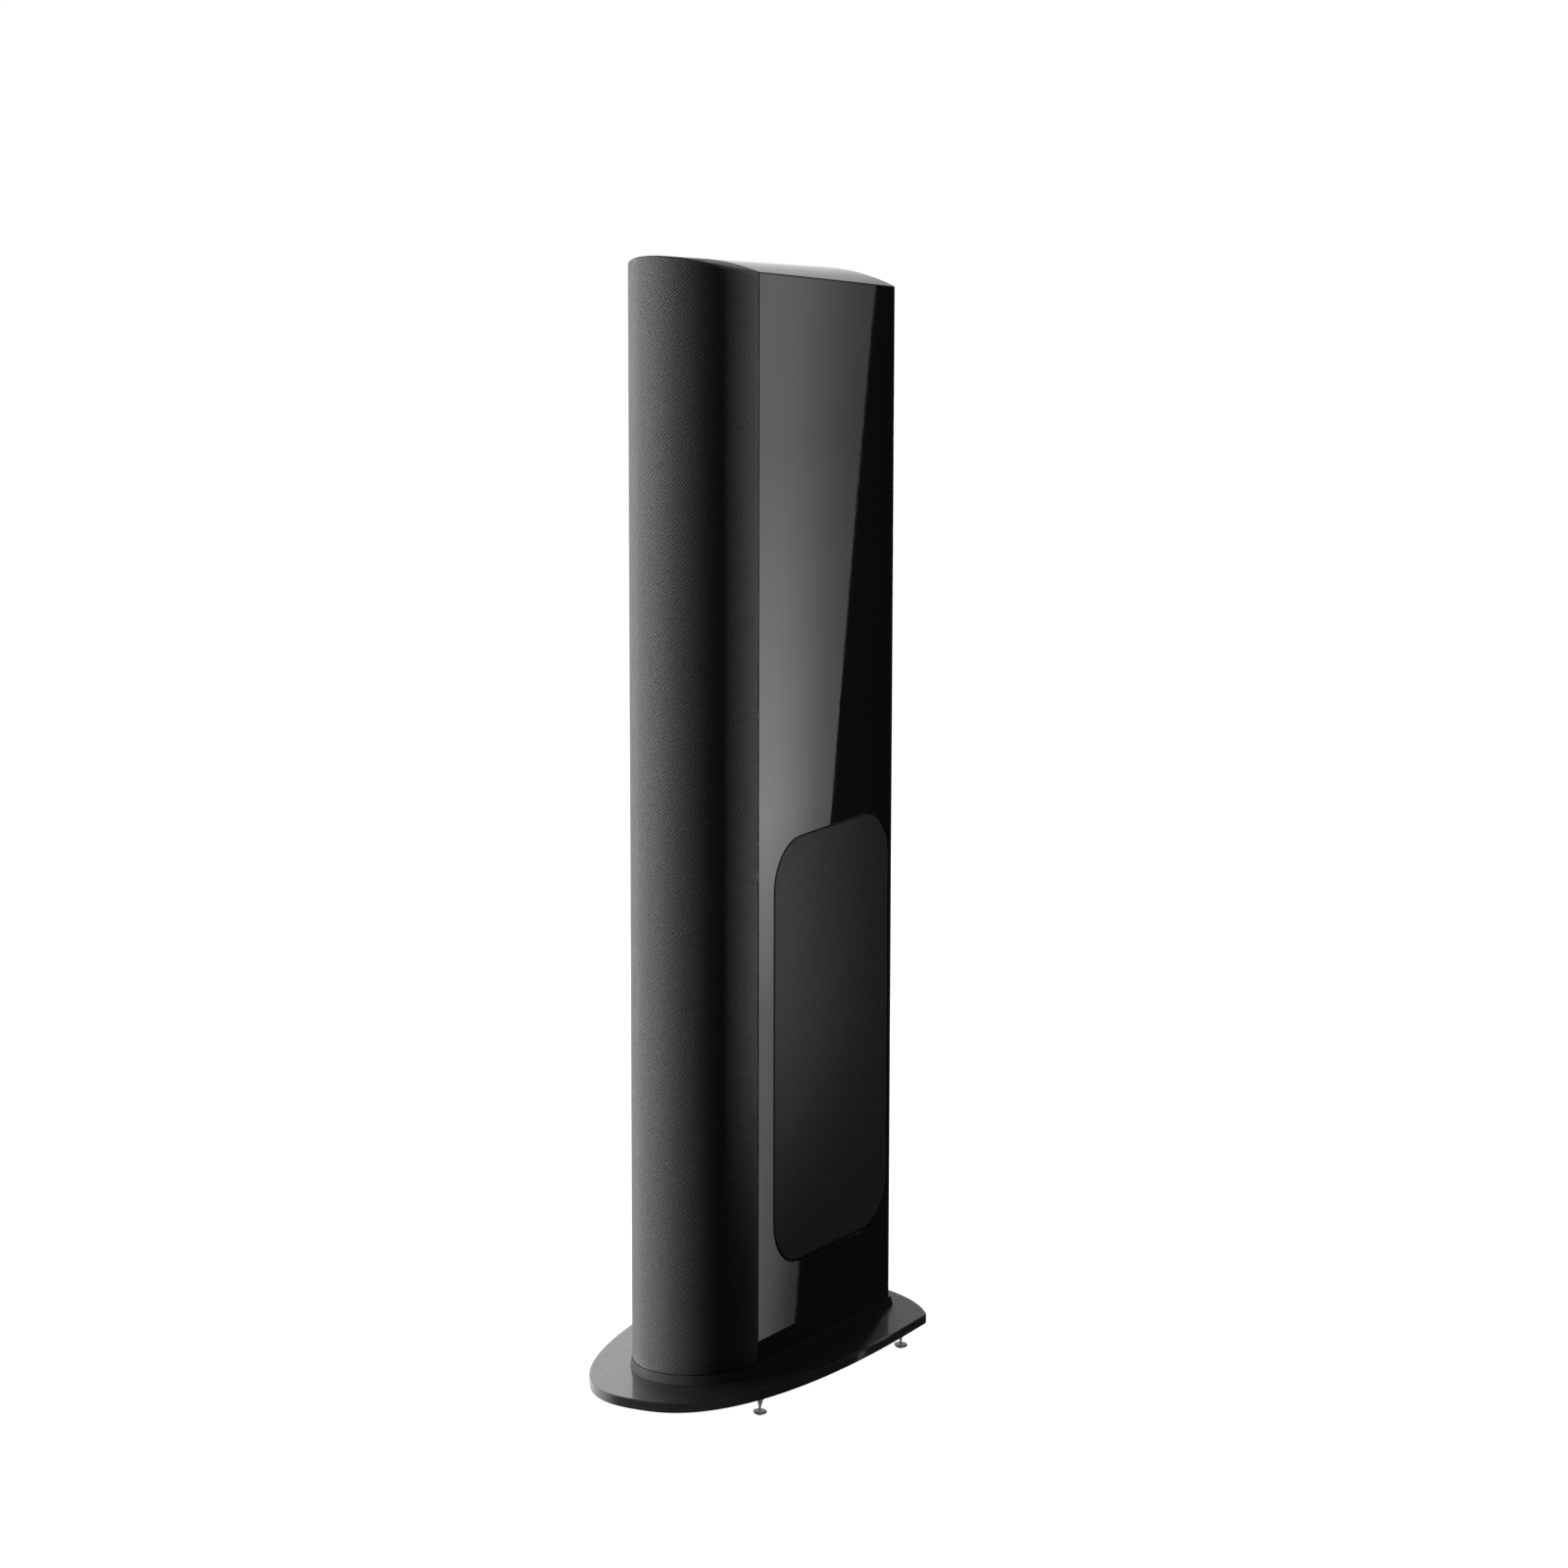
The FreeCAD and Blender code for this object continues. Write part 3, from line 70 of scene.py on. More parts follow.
# sizes that the CAD model has too
CREST_Z = 1.1895
CROWN_RADIUS = 0.230
CROWN_SLOPE = math.radians(6.73)
SIDE_FACE = Vector((math.cos(TAPER), -math.sin(TAPER), 0.0))
SIDE_ALONG = Vector((math.sin(TAPER), math.cos(TAPER), 0.0))
RADIATOR_BEHIND_SEAM = 0.148
RADIATOR_Z = 0.358
SIDE_CENTRE = Vector((HALF_FRONT, SEAM_Y, RADIATOR_Z)) + SIDE_ALONG * RADIATOR_BEHIND_SEAM

MM = 0.001


# ---------------------------------------------------------------- node-graph helpers
class Graph:
    """A material's node tree, with short calls for the nodes that the materials share."""

    def __init__(self, name):
        self.material = bpy.data.materials.new(name)
        self.material.use_nodes = True
        self.tree = self.material.node_tree
        self.shader = self.tree.nodes["Principled BSDF"]
        self.where = self.tree.nodes.new("ShaderNodeTexCoord")

    def node(self, kind, **values):
        made = self.tree.nodes.new(kind)
        for key, value in values.items():
            setattr(made, key, value)
        return made

    def link(self, source, target):
        self.tree.links.new(source, target)

    def set(self, **sockets):
        """Shader sockets by name, with underscores for spaces."""
        for key, value in sockets.items():
            self.shader.inputs[key.replace("_", " ")].default_value = value

    def scaled(self, scale=(1, 1, 1), source="Object"):
        """Coordinates stretched by a factor along each axis."""
        mapping = self.node("ShaderNodeMapping")
        mapping.inputs["Scale"].default_value = scale
        self.link(self.where.outputs[source], mapping.inputs["Vector"])
        return mapping.outputs["Vector"]

    def noise(self, vector, scale, detail=3.0, rough=0.55):
        made = self.node("ShaderNodeTexNoise")
        made.inputs["Scale"].default_value = scale
        made.inputs["Detail"].default_value = detail
        made.inputs["Roughness"].default_value = rough
        self.link(vector, made.inputs["Vector"])
        return made.outputs["Fac"]

    def ramp(self, factor, low, high, start=0.3, end=0.7, smooth=False):
        """A value from low to high as the factor goes from start to end."""
        made = self.node("ShaderNodeMapRange", interpolation_type="SMOOTHSTEP" if smooth else "LINEAR")
        made.inputs["From Min"].default_value = start
        made.inputs["From Max"].default_value = end
        made.inputs["To Min"].default_value = low
        made.inputs["To Max"].default_value = high
        self.link(factor, made.inputs["Value"])
        return made.outputs["Result"]

    def tint(self, factor, dark, light):
        made = self.node("ShaderNodeMix", data_type="RGBA")
        made.inputs["A"].default_value = (*dark, 1)
        made.inputs["B"].default_value = (*light, 1)
        self.link(factor, made.inputs["Factor"])
        return made.outputs["Result"]

    def math(self, operation, a, b):
        made = self.node("ShaderNodeMath", operation=operation)
        for socket, value in zip(made.inputs, (a, b)):
            if isinstance(value, (int, float)):
                socket.default_value = value
            else:
                self.link(value, socket)
        return made.outputs["Value"]

    def colour(self, socket):
        self.link(socket, self.shader.inputs["Base Color"])

    def roughness(self, socket):
        self.link(socket, self.shader.inputs["Roughness"])

    def bump(self, height, distance, strength=1.0):
        made = self.node("ShaderNodeBump")
        made.inputs["Distance"].default_value = distance
        made.inputs["Strength"].default_value = strength
        self.link(height, made.inputs["Height"])
        self.link(made.outputs["Normal"], self.shader.inputs["Normal"])


def grey(value):
    return (value, value, value)


# ---------------------------------------------------------------- materials
# the cloth's repeat from thread to thread, how far its waves wander, and noise scales per repeat
WEAVE = 2.35 * MM
WANDER_SCALE = 0.26
WANDER_RADIANS = 6.0
PATCH_SCALE = 0.4
FUZZ_SCALE = 1.6


def lacquer():
    """Polished black lacquer with a faint orange peel."""
    g = Graph("gloss_black_lacquer")
    g.set(Specular_IOR_Level=0.5, IOR=1.5)
    patches = g.noise(g.scaled(), 9.0)
    g.colour(g.tint(patches, grey(0.0035), grey(0.006)))
    g.roughness(g.ramp(patches, 0.008, 0.016))
    g.bump(g.noise(g.scaled(), 120.0, 1.0), 0.0012 * MM)
    return g.material


def base_lacquer():
    """The base's lacquer: a brushed satin body, streaked along its length, under a clear coat."""
    g = Graph("base_black_lacquer")
    g.set(Specular_IOR_Level=0.8, Coat_Weight=1.0, Coat_Roughness=0.07)
    streaks = g.noise(g.scaled((60, 4, 60)), 6.0, 4.0, 0.6)
    g.colour(g.tint(streaks, grey(0.003), grey(0.008)))
    g.roughness(g.ramp(streaks, 0.36, 0.46))
    g.bump(g.noise(g.scaled((30, 3, 30)), 6.0, 1.0), 0.002 * MM)
    return g.material


def cloth(name, dark, light, sheen=0.55, relief=0.2 * MM):
    """Acoustic cloth: fine diagonal threads that lean one way or the other in wandering patches.
    The pattern is in the sheet's own metres, with WEAVE from thread to thread."""
    g = Graph(name)
    g.set(Sheen_Weight=sheen, Sheen_Roughness=0.38, Specular_IOR_Level=0.18)
    g.shader.inputs["Sheen Tint"].default_value = (0.85, 0.86, 0.88, 1)
    wobble = g.noise(g.scaled(source="UV"), WANDER_SCALE / WEAVE, 2.0)
    split = g.node("ShaderNodeSeparateXYZ")
    g.link(g.where.outputs["UV"], split.inputs["Vector"])
    u, v = split.outputs["X"], split.outputs["Y"]
    turn = 2 * math.pi / (WEAVE * math.sqrt(2))
    waves = []
    for slant in (1, -1):
        along = g.math("ADD", g.math("MULTIPLY", u, turn), g.math("MULTIPLY", v, slant * turn))
        shifted = g.math("ADD", along, g.math("MULTIPLY", wobble, WANDER_RADIANS))
        waves.append(g.math("SINE", shifted, 0.0))
    areas = g.noise(g.scaled(source="UV"), PATCH_SCALE / WEAVE, 1.0)
    patches = g.ramp(areas, 0.0, 1.0, 0.42, 0.58)
    lean = g.math("MULTIPLY", patches, g.math("SUBTRACT", waves[1], waves[0]))
    height = g.ramp(g.math("ADD", waves[0], lean), 0.0, 1.0, -0.9, 0.9)
    fuzz = g.noise(g.scaled(source="UV"), FUZZ_SCALE / WEAVE, 3.0, 0.7)
    mixed = g.math("MULTIPLY", height, g.ramp(fuzz, 0.7, 1.25))
    g.colour(g.tint(mixed, grey(dark), grey(light)))
    g.roughness(g.ramp(height, 0.95, 0.75))
    g.bump(mixed, relief, 0.9)
    return g.material


def moulded(name, value, rough, grain=900.0, depth=0.03, specular=0.45):
    """Moulded plastic or fine powder coat, with a pebbled grain."""
    g = Graph(name)
    g.set(Specular_IOR_Level=specular)
    grains = g.noise(g.scaled(), grain, 2.0, 0.5)
    patches = g.noise(g.scaled(), 30.0)
    g.colour(g.tint(patches, grey(value * 0.8), grey(value * 1.2)))
    g.roughness(g.ramp(grains, rough - 0.07, rough + 0.07))
    g.bump(grains, depth * MM)
    return g.material


def metal(name, dark, light, rough, stretch=(1, 1, 1), scale=400.0, depth=0.01):
    """Bare or plated metal with tool marks that may run one way."""
    g = Graph(name)
    g.set(Metallic=1.0)
    marks = g.noise(g.scaled(stretch), scale, 4.0, 0.6)
    stains = g.noise(g.scaled(), 45.0)
    g.colour(g.tint(stains, dark, light))
    g.roughness(g.ramp(marks, max(rough - 0.06, 0.02), rough + 0.08))
    g.bump(marks, depth * MM)
    return g.material


def clear_plastic(name, dark, light):
    """Smooth coloured plastic under a clear coat."""
    g = Graph(name)
    g.set(Coat_Weight=0.6, Coat_Roughness=0.06)
    patches = g.noise(g.scaled(), 120.0)
    g.colour(g.tint(patches, dark, light))
    g.roughness(g.ramp(patches, 0.12, 0.22))
    g.bump(g.noise(g.scaled(), 700.0, 1.0), 0.006 * MM)
    return g.material


def rubber(name, value):
    g = Graph(name)
    g.set(Specular_IOR_Level=0.3, Sheen_Weight=0.08)
    grains = g.noise(g.scaled(), 1400.0, 2.0)
    dust = g.noise(g.scaled(), 60.0)
    g.colour(g.tint(dust, grey(value * 0.8), grey(value * 1.6)))
    g.roughness(g.ramp(grains, 0.55, 0.8))
    g.bump(grains, 0.02 * MM)
    return g.material


def fibreboard():
    g = Graph("bare_board")
    fibres = g.noise(g.scaled(), 900.0, 5.0, 0.75)
    g.colour(g.tint(fibres, (0.20, 0.13, 0.075), (0.44, 0.32, 0.20)))
    g.roughness(g.ramp(fibres, 0.8, 0.95))
    g.bump(fibres, 0.15 * MM)
    return g.material


def circuit_board():
    """Solder mask over a lattice of tracks."""
    g = Graph("circuit_board")
    g.set(Coat_Weight=0.25, Coat_Roughness=0.2)
    tracks = g.node("ShaderNodeTexBrick", offset=0.35)
    tracks.inputs["Scale"].default_value = 140.0
    tracks.inputs["Mortar Size"].default_value = 0.03
    g.link(g.scaled(), tracks.inputs["Vector"])
    g.colour(g.tint(tracks.outputs["Fac"], (0.012, 0.07, 0.03), (0.03, 0.15, 0.06)))
    g.roughness(g.ramp(tracks.outputs["Fac"], 0.45, 0.3, 0.0, 1.0))
    g.bump(tracks.outputs["Fac"], 0.03 * MM)
    return g.material


STEEL_DARK, STEEL_LIGHT = (0.26, 0.26, 0.27), (0.42, 0.42, 0.43)
MATERIALS = {
    "gloss_black_lacquer": lacquer(),
    "satin_black_board": moulded("satin_black_board", 0.02, 0.4, 500.0, 0.02),
    "bare_board": fibreboard(),
    "grille_cloth": cloth("grille_cloth", 0.003, 0.072),
    # a darker copy of the cloth with little sheen for its flat-lying faces: painted shade on the crest and
    # crescent top
    "grille_cloth_painted_shade_top": cloth("grille_cloth_painted_shade_top", 0.003, 0.03, sheen=0.08),
    "grille_plastic": moulded("grille_plastic", 0.012, 0.5),
    "cast_basket": metal(
        "cast_basket", (0.07, 0.07, 0.074), (0.12, 0.12, 0.125), 0.5, scale=700.0, depth=0.04
    ),
    "faceplate": metal("faceplate", (0.022, 0.022, 0.023), (0.036, 0.036, 0.037), 0.32, (1, 1, 30), 90.0),
    "motor_steel": metal("motor_steel", STEEL_DARK, STEEL_LIGHT, 0.3),
    "ribbon_foil": metal("ribbon_foil", (0.68, 0.67, 0.65), (0.8, 0.79, 0.77), 0.22, (1, 1, 20), 90.0),
    "cone": moulded("cone", 0.025, 0.42, 800.0, 0.02),
    "surround_rubber": rubber("surround_rubber", 0.012),
    "black_screw": metal("black_screw", grey(0.018), grey(0.03), 0.35),
    "zinc_steel": metal("zinc_steel", (0.48, 0.48, 0.5), (0.6, 0.6, 0.62), 0.28),
    "amp_plate_paint": moulded("amp_plate_paint", 0.018, 0.55, 1100.0, 0.05),
    "heat_sink_black": metal("heat_sink_black", grey(0.016), grey(0.026), 0.4, (1, 1, 25), 80.0),
    "circuit_board": circuit_board(),
    "inlet_plastic": moulded("inlet_plastic", 0.012, 0.28, 600.0, 0.01),
    "gold_contact": metal("gold_contact", (0.75, 0.54, 0.2), (0.88, 0.68, 0.3), 0.16),
    "red_cap": clear_plastic("red_cap", (0.36, 0.006, 0.006), (0.5, 0.012, 0.012)),
    "black_cap": clear_plastic("black_cap", grey(0.008), grey(0.013)),
    "knob_plastic": moulded("knob_plastic", 0.02, 0.38, 700.0, 0.015),
    "socket_rubber": rubber("socket_rubber", 0.015),
    "brass_insert": metal("brass_insert", (0.62, 0.46, 0.2), (0.76, 0.6, 0.3), 0.25),
    "chrome_foot": metal(
        "chrome_foot", (0.78, 0.78, 0.8), (0.86, 0.86, 0.87), 0.06, scale=300.0, depth=0.003
    ),
}
BASE_LACQUER = base_lacquer()
PLINTH_PAINT = moulded("plinth_paint", 0.024, 0.55, 500.0, 0.01, specular=0.2)
# a lighter copy of the same grille cloth for the side grilles, so they come out brighter than the front:
# painted light
SIDE_CLOTH_PAINTED_LIGHT = cloth("side_grille_cloth_painted_light", 0.012, 0.07, relief=0.1 * MM)


def dress(obj, material):
    """Puts one material in every slot of an object."""
    if not obj.material_slots:
        obj.data.materials.append(material)
    for slot in obj.material_slots:
        slot.material = material


def dress_cad_nodes():
    for part in frame["record"]["subparts"]:
        dress(nodes[part["node"]], MATERIALS[part["material_slot"]])
    dress(nodes["base_plate"], BASE_LACQUER)
    dress(nodes["plinth_plate"], PLINTH_PAINT)


# ---------------------------------------------------------------- mesh helpers
def mesh_object(name, vertices, faces, uvs=None, smooth=True):
    """A mesh object from lists; uvs is one (u, v) per vertex."""
    mesh = bpy.data.meshes.new(name)
    mesh.from_pydata([tuple(v) for v in vertices], [], faces)
    if uvs:
        layer = mesh.uv_layers.new(name="UVMap")
        for loop in mesh.loops:
            layer.data[loop.index].uv = uvs[loop.vertex_index]
    mesh.polygons.foreach_set("use_smooth", [smooth] * len(mesh.polygons))
    mesh.validate()
    mesh.update()
    obj = bpy.data.objects.new(name, mesh)
    bpy.context.collection.objects.link(obj)
    return obj


def grid_faces(rows, columns, closed=False):
    """Quads over a grid of vertices numbered row by row; closed joins the last column to the first."""
    faces = []
    for r in range(rows - 1):
        for c in range(columns if closed else columns - 1):
            d = (c + 1) % columns
            faces.append((r * columns + c, r * columns + d, (r + 1) * columns + d, (r + 1) * columns + c))
    return faces


def thicken(obj, thickness):
    """Gives a sheet its thickness, towards its inside."""
    solid = obj.modifiers.new("thickness", "SOLIDIFY")
    solid.thickness = thickness
    solid.offset = -1.0


def finish_piece(obj, material, slot, body, *replaced):
    dress(obj, material)
    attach(obj, body)
    if replaced:
        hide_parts(*replaced)


# ---------------------------------------------------------------- front grille cloth
CLOTH_THICKNESS = 0.7 * MM
BOW_COLUMNS = 120
WALL_ROWS = 72
EDGE_ROUND = 3.2 * MM
EDGE_STEPS = 6
CREST_ROWS = 10
HEM = 6.0 * MM
SEAM_CLEARANCE = 0.3 * MM
TURN_IN = 2.6 * MM
TURN_SHARES = (0.06, 0.2, 0.4, 0.7, 1.0)
# faces lying flatter than this take the darker cloth copy: painted shade
PAINTED_SHADE_SLOPE = 0.6
OUTLINE_STEPS = 4000
WALL_FOOT = 1.0 * MM
WELD = 0.02 * MM
SHORTEST_EDGE = 0.01 * MM
# rows under the wall, as (inset, height above the grille's foot)
FOOT_ROWS = ((HEM, 0.2 * MM), (0.8 * MM, 0.2 * MM), (0.2 * MM, 0.4 * MM))


def crown_height(x, y):
    """Height of the crowned, sloping top over a point of the plan."""
    sag = CROWN_RADIUS - math.sqrt(CROWN_RADIUS**2 - x**2)
    return CREST_Z - math.tan(CROWN_SLOPE) * (y - SEAM_Y) - sag / math.cos(CROWN_SLOPE)


def rounded_step(radius, turn):
    """How far inwards and down a rounded edge has gone at an angle from its wall."""
    return radius * (1 - math.cos(turn)), radius * (1 - math.sin(turn))


def bow_outline(count):
    """Points round the half ellipse, as (x, y, outward normal, arc length). They stand at equal arc
    steps, with more of them at both ends, where the cloth turns inwards towards the seam."""
    back = SEAM_Y - SEAM_CLEARANCE
    raw, lengths = [], [0.0]
    for i in range(OUTLINE_STEPS + 1):
        t = math.pi * (i / OUTLINE_STEPS - 0.5)
        raw.append((HALF_FRONT * math.sin(t), min(SEAM_Y - BOW_DEPTH * math.cos(t), back), t))
        if i:
            lengths.append(lengths[-1] + math.dist(raw[i][:2], raw[i - 1][:2]))
    whole = lengths[-1]
    turned = [TURN_IN * share for share in TURN_SHARES]
    even = [whole * i / count for i in range(count + 1)]
    targets = sorted(even + turned + [whole - d for d in turned])
    points, k = [], 0
    for target in targets:
        while k < OUTLINE_STEPS and lengths[k] < target:
            k += 1
        x, y, t = raw[k]
        normal = Vector((math.sin(t) / HALF_FRONT, -math.cos(t) / BOW_DEPTH, 0)).normalized()
        left = 1 - min(min(target, whole - target) / TURN_IN, 1)
        if left:
            side = math.copysign(1, x)
            x -= side * TURN_IN * (1 - math.sqrt(1 - left**2))
            normal = Vector((side * math.sqrt(1 - left**2), left, 0))
        points.append((x, y, normal, lengths[k]))
    return points


def front_cloth():
    """The bowed cloth: wall, rounded top edge, crescent top, and hems behind the frame."""
    outline = bow_outline(BOW_COLUMNS)
    back = SEAM_Y - SEAM_CLEARANCE
    rows = []

    def ring(inset, height, rise):
        """One row of (point, uv), inset from the outline, at height(x, y); rise is its v."""
        row = []
        for x, y, normal, length in outline:
            px, py = x - normal.x * inset, min(y - normal.y * inset, back)
            row.append((Vector((px, py, height(px, py))), (length, rise)))
        return row

    for inset, lift in FOOT_ROWS:
        rows.append(ring(inset, lambda x, y, lift=lift: GRILLE_FOOT + lift, -inset))
    for i in range(WALL_ROWS + 1):
        share = i / WALL_ROWS

        def height(x, y, share=share):
            low = GRILLE_FOOT + WALL_FOOT
            return low + (crown_height(x, y) - EDGE_ROUND - low) * share

        rows.append(ring(0.0, height, (CREST_Z - GRILLE_FOOT) * share))
    top_v = CREST_Z - GRILLE_FOOT
    for i in range(1, EDGE_STEPS + 1):
        turn = math.pi / 2 * i / EDGE_STEPS
        inset, drop = rounded_step(EDGE_ROUND, turn)
        rise = top_v + EDGE_ROUND * turn
        rows.append(ring(inset, lambda x, y, drop=drop: crown_height(x, y) - drop, rise))
    rim = [p for p, _ in rows[-1]]
    for i in range(1, CREST_ROWS + 1):
        share = i / CREST_ROWS
        row = []
        for p, (_, _, _, length) in zip(rim, outline):
            y = p.y + (back - p.y) * share
            row.append((Vector((p.x, y, crown_height(p.x, y))), (length, top_v + EDGE_ROUND + (y - p.y))))
        rows.append(row)
    rows.append([(p - Vector((0, 0, HEM)), (u, v + HEM)) for p, (u, v) in rows[-1]])
    vertices = [p for row in rows for p, _ in row]
    uvs = [uv for row in rows for _, uv in row]
    obj = mesh_object("front_cloth", vertices, grid_faces(len(rows), len(outline)), uvs)
    weld = bmesh.new()
    weld.from_mesh(obj.data)
    bmesh.ops.remove_doubles(weld, verts=weld.verts, dist=WELD)
    bmesh.ops.dissolve_degenerate(weld, dist=SHORTEST_EDGE, edges=weld.edges)
    weld.to_mesh(obj.data)
    weld.free()
    thicken(obj, CLOTH_THICKNESS)
    finish_piece(obj, MATERIALS["grille_cloth"], "grille_cloth", "front_grille", "front_grille_cloth")
    # flat-lying faces, chiefly the crest and crescent top, get the darker cloth copy: painted shade
    obj.data.materials.append(MATERIALS["grille_cloth_painted_shade_top"])
    for polygon in obj.data.polygons:
        if abs(polygon.normal.z) > PAINTED_SHADE_SLOPE:
            polygon.material_index = 1


# ---------------------------------------------------------------- side grille cloths
SIDE_SIZE = (0.2344, 0.4564)
SIDE_CORNER = 0.0512
SIDE_EDGE_ROUND = 2.2 * MM
SIDE_EDGE_STEPS = 5
SIDE_SKIRT = 6.0 * MM
SIDE_THICKNESS = 0.4 * MM
SIDE_FACE_INSETS = (4 * MM, 14 * MM, 28 * MM, 40 * MM)
SMALLEST_CORNER = 4 * MM
CORNER_STEPS = 14


def side_axes(side):
    """A side panel's outward direction, its direction to the rear, and its grille's centre."""
    outward = Vector((side * SIDE_FACE.x, SIDE_FACE.y, 0))
    along = Vector((side * SIDE_ALONG.x, SIDE_ALONG.y, 0))
    centre = Vector((side * SIDE_CENTRE.x, SIDE_CENTRE.y, SIDE_CENTRE.z))
    return outward, along, centre


def rounded_outline(width, height, corner, steps):
    """Points round a rounded rectangle, anticlockwise, with steps to each corner."""
    points = []
    for cx, cy, start in ((1, 1, 0), (-1, 1, 90), (-1, -1, 180), (1, -1, 270)):
        for i in range(steps + 1):
            a = math.radians(start + 90 * i / steps)
            x = cx * (width / 2 - corner) + corner * math.cos(a)
            y = cy * (height / 2 - corner) + corner * math.sin(a)
            points.append((x, y))
    return points


def side_cloth(side):
    """Cloth wrapped over a side grille frame; side is 1 for the right and -1 for the left."""
    name = "right" if side > 0 else "left"
    rings = [(0.0, SIDE_SKIRT), (0.0, SIDE_EDGE_ROUND)]
    for i in range(1, SIDE_EDGE_STEPS + 1):
        rings.append(rounded_step(SIDE_EDGE_ROUND, math.pi / 2 * i / SIDE_EDGE_STEPS))
    rings += [(inset, 0.0) for inset in SIDE_FACE_INSETS]
    rows = []
    for inset, depth in rings:
        size = [length - 2 * inset for length in SIDE_SIZE]
        outline = rounded_outline(*size, max(SIDE_CORNER - inset, SMALLEST_CORNER), CORNER_STEPS)
        rows.append([(x, y, -depth) for x, y in outline])
    columns = len(rows[0])
    flat = [p for row in rows for p in row]
    outward, along, centre = side_axes(side)
    vertices = [centre + along * x + Vector((0, 0, y)) + outward * z for x, y, z in flat]
    faces = grid_faces(len(rows), columns, closed=True)
    start = (len(rows) - 1) * columns
    faces.append(tuple(range(start, start + columns)))
    if side < 0:
        faces = [tuple(reversed(f)) for f in faces]
    uvs = [(x, y) for x, y, _ in flat]
    obj = mesh_object(name + "_cloth", vertices, faces, uvs)
    thicken(obj, SIDE_THICKNESS)
    # the side cloth wears the lighter copy of the cloth: painted light
    finish_piece(obj, SIDE_CLOTH_PAINTED_LIGHT, "grille_cloth", name + "_side_grille", name + "_grille_cloth")


# ---------------------------------------------------------------- surrounds and spiders
# a roll's outer lip, centre, radius, inner lip, height and sheet, in mm
MID_ROLL = (47.9, 42.5, 4, 35.2, 0, 0.7)
WOOFER_ROLL = (52.9, 45, 7, 34.6, 0, 0.9)
RADIATOR_ROLL = (85.5, 76, 8, 64.5, -21, 1.0)
# a spider's inner radius, outer radius and height, in mm
MID_SPIDER = (13.35, 33.6, -29.5)
WOOFER_SPIDER = (15.95, 34, -33.4)
SPIDER_SHEET = 0.6 * MM
SPIDER_WAVE = 1.0 * MM
WOOFER_STRAIGHT = 0.104
RADIATOR_STRAIGHT = 0.102
ARC_STEPS = 40
ROLL_STEPS = 16
SPIDER_WAVES = 4


def roll_loop(lip_out, centre, radius, lip_in, base, sheet):
    """A half-roll's closed section as (radius, height, share across the roll, 0 outside and 1 inside)."""
    upper = [(lip_in, base + sheet)]
    lower = [(lip_in, base)]
    for i in range(ROLL_STEPS + 1):
        turn = math.pi * (1 - i / ROLL_STEPS)
        upper.append((centre + radius * math.cos(turn), base + sheet + (radius - sheet) * math.sin(turn)))
        lower.append((centre + (radius - sheet) * math.cos(turn), base + (radius - sheet) * math.sin(turn)))
    upper.append((lip_out, base + sheet))
    lower.append((lip_out, base))
    loop = upper + lower[::-1]
    return [(r, z, min(max((centre + radius - r) / (2 * radius), 0), 1)) for r, z in loop]


def spider_loop(inner, outer, height):
    """A corrugated disc's closed section, with the same shares."""
    steps = 8 * SPIDER_WAVES
    upper = []
    for i in range(steps + 1):
        share = i / steps
        rise = SPIDER_WAVE * (0.5 - 0.5 * math.cos(2 * math.pi * SPIDER_WAVES * share))
        upper.append((inner + (outer - inner) * share, height + rise, 1 - share))
    return upper + [(r, z - SPIDER_SHEET, w) for r, z, w in reversed(upper)]


def racetrack_path(straight):
    """Directions round a circle, or round a racetrack, each with its end's offset."""
    if not straight:
        turns = [2 * math.pi * i / (2 * ARC_STEPS) for i in range(2 * ARC_STEPS)]
        return [(math.cos(a), math.sin(a), 0.0) for a in turns]
    path = []
    for end in (0, 1):
        for i in range(ARC_STEPS + 1):
            a = math.pi * (end + i / ARC_STEPS)
            path.append((math.cos(a), math.sin(a), straight / 2 * (1 if end == 0 else -1)))
    return path


def suspension(name, sections, place, node):
    """Rubber round a diaphragm, its outside at the cabinet and its inside at the diaphragm, as one
    mesh that does not move. sections are (closed section, straight length); place(x, y, z) maps to the
    object."""
    vertices, faces, shares = [], [], []
    for loop, straight in sections:
        path = racetrack_path(straight)
        start, columns = len(vertices), len(loop)
        for c, s, offset in path:
            for r, z, share in loop:
                vertices.append(place(r * c, r * s + offset, z))
                shares.append(share)
        for i in range(len(path)):
            j = (i + 1) % len(path)
            for k in range(columns):
                m = (k + 1) % columns
                corners = (i * columns + k, i * columns + m, j * columns + m, j * columns + k)
                faces.append(tuple(start + c for c in corners))
    obj = mesh_object(name, vertices, faces)
    shell = bmesh.new()
    shell.from_mesh(obj.data)
    bmesh.ops.recalc_face_normals(shell, faces=shell.faces)
    shell.to_mesh(obj.data)
    shell.free()
    dress(obj, MATERIALS["surround_rubber"])
    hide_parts(node)
    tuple(place(0.1, 0, 0))
    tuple(place(0, 0, 0))
    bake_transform(obj)


def scaled_mm(*values):
    return [v * MM for v in values]


def on_front(height):
    return lambda x, y, z: Vector((x, BAFFLE_Y - z, height + y))


def on_side(side):
    outward, along, centre = side_axes(side)
    return lambda x, y, z: centre + along * x + Vector((0, 0, y)) + outward * z


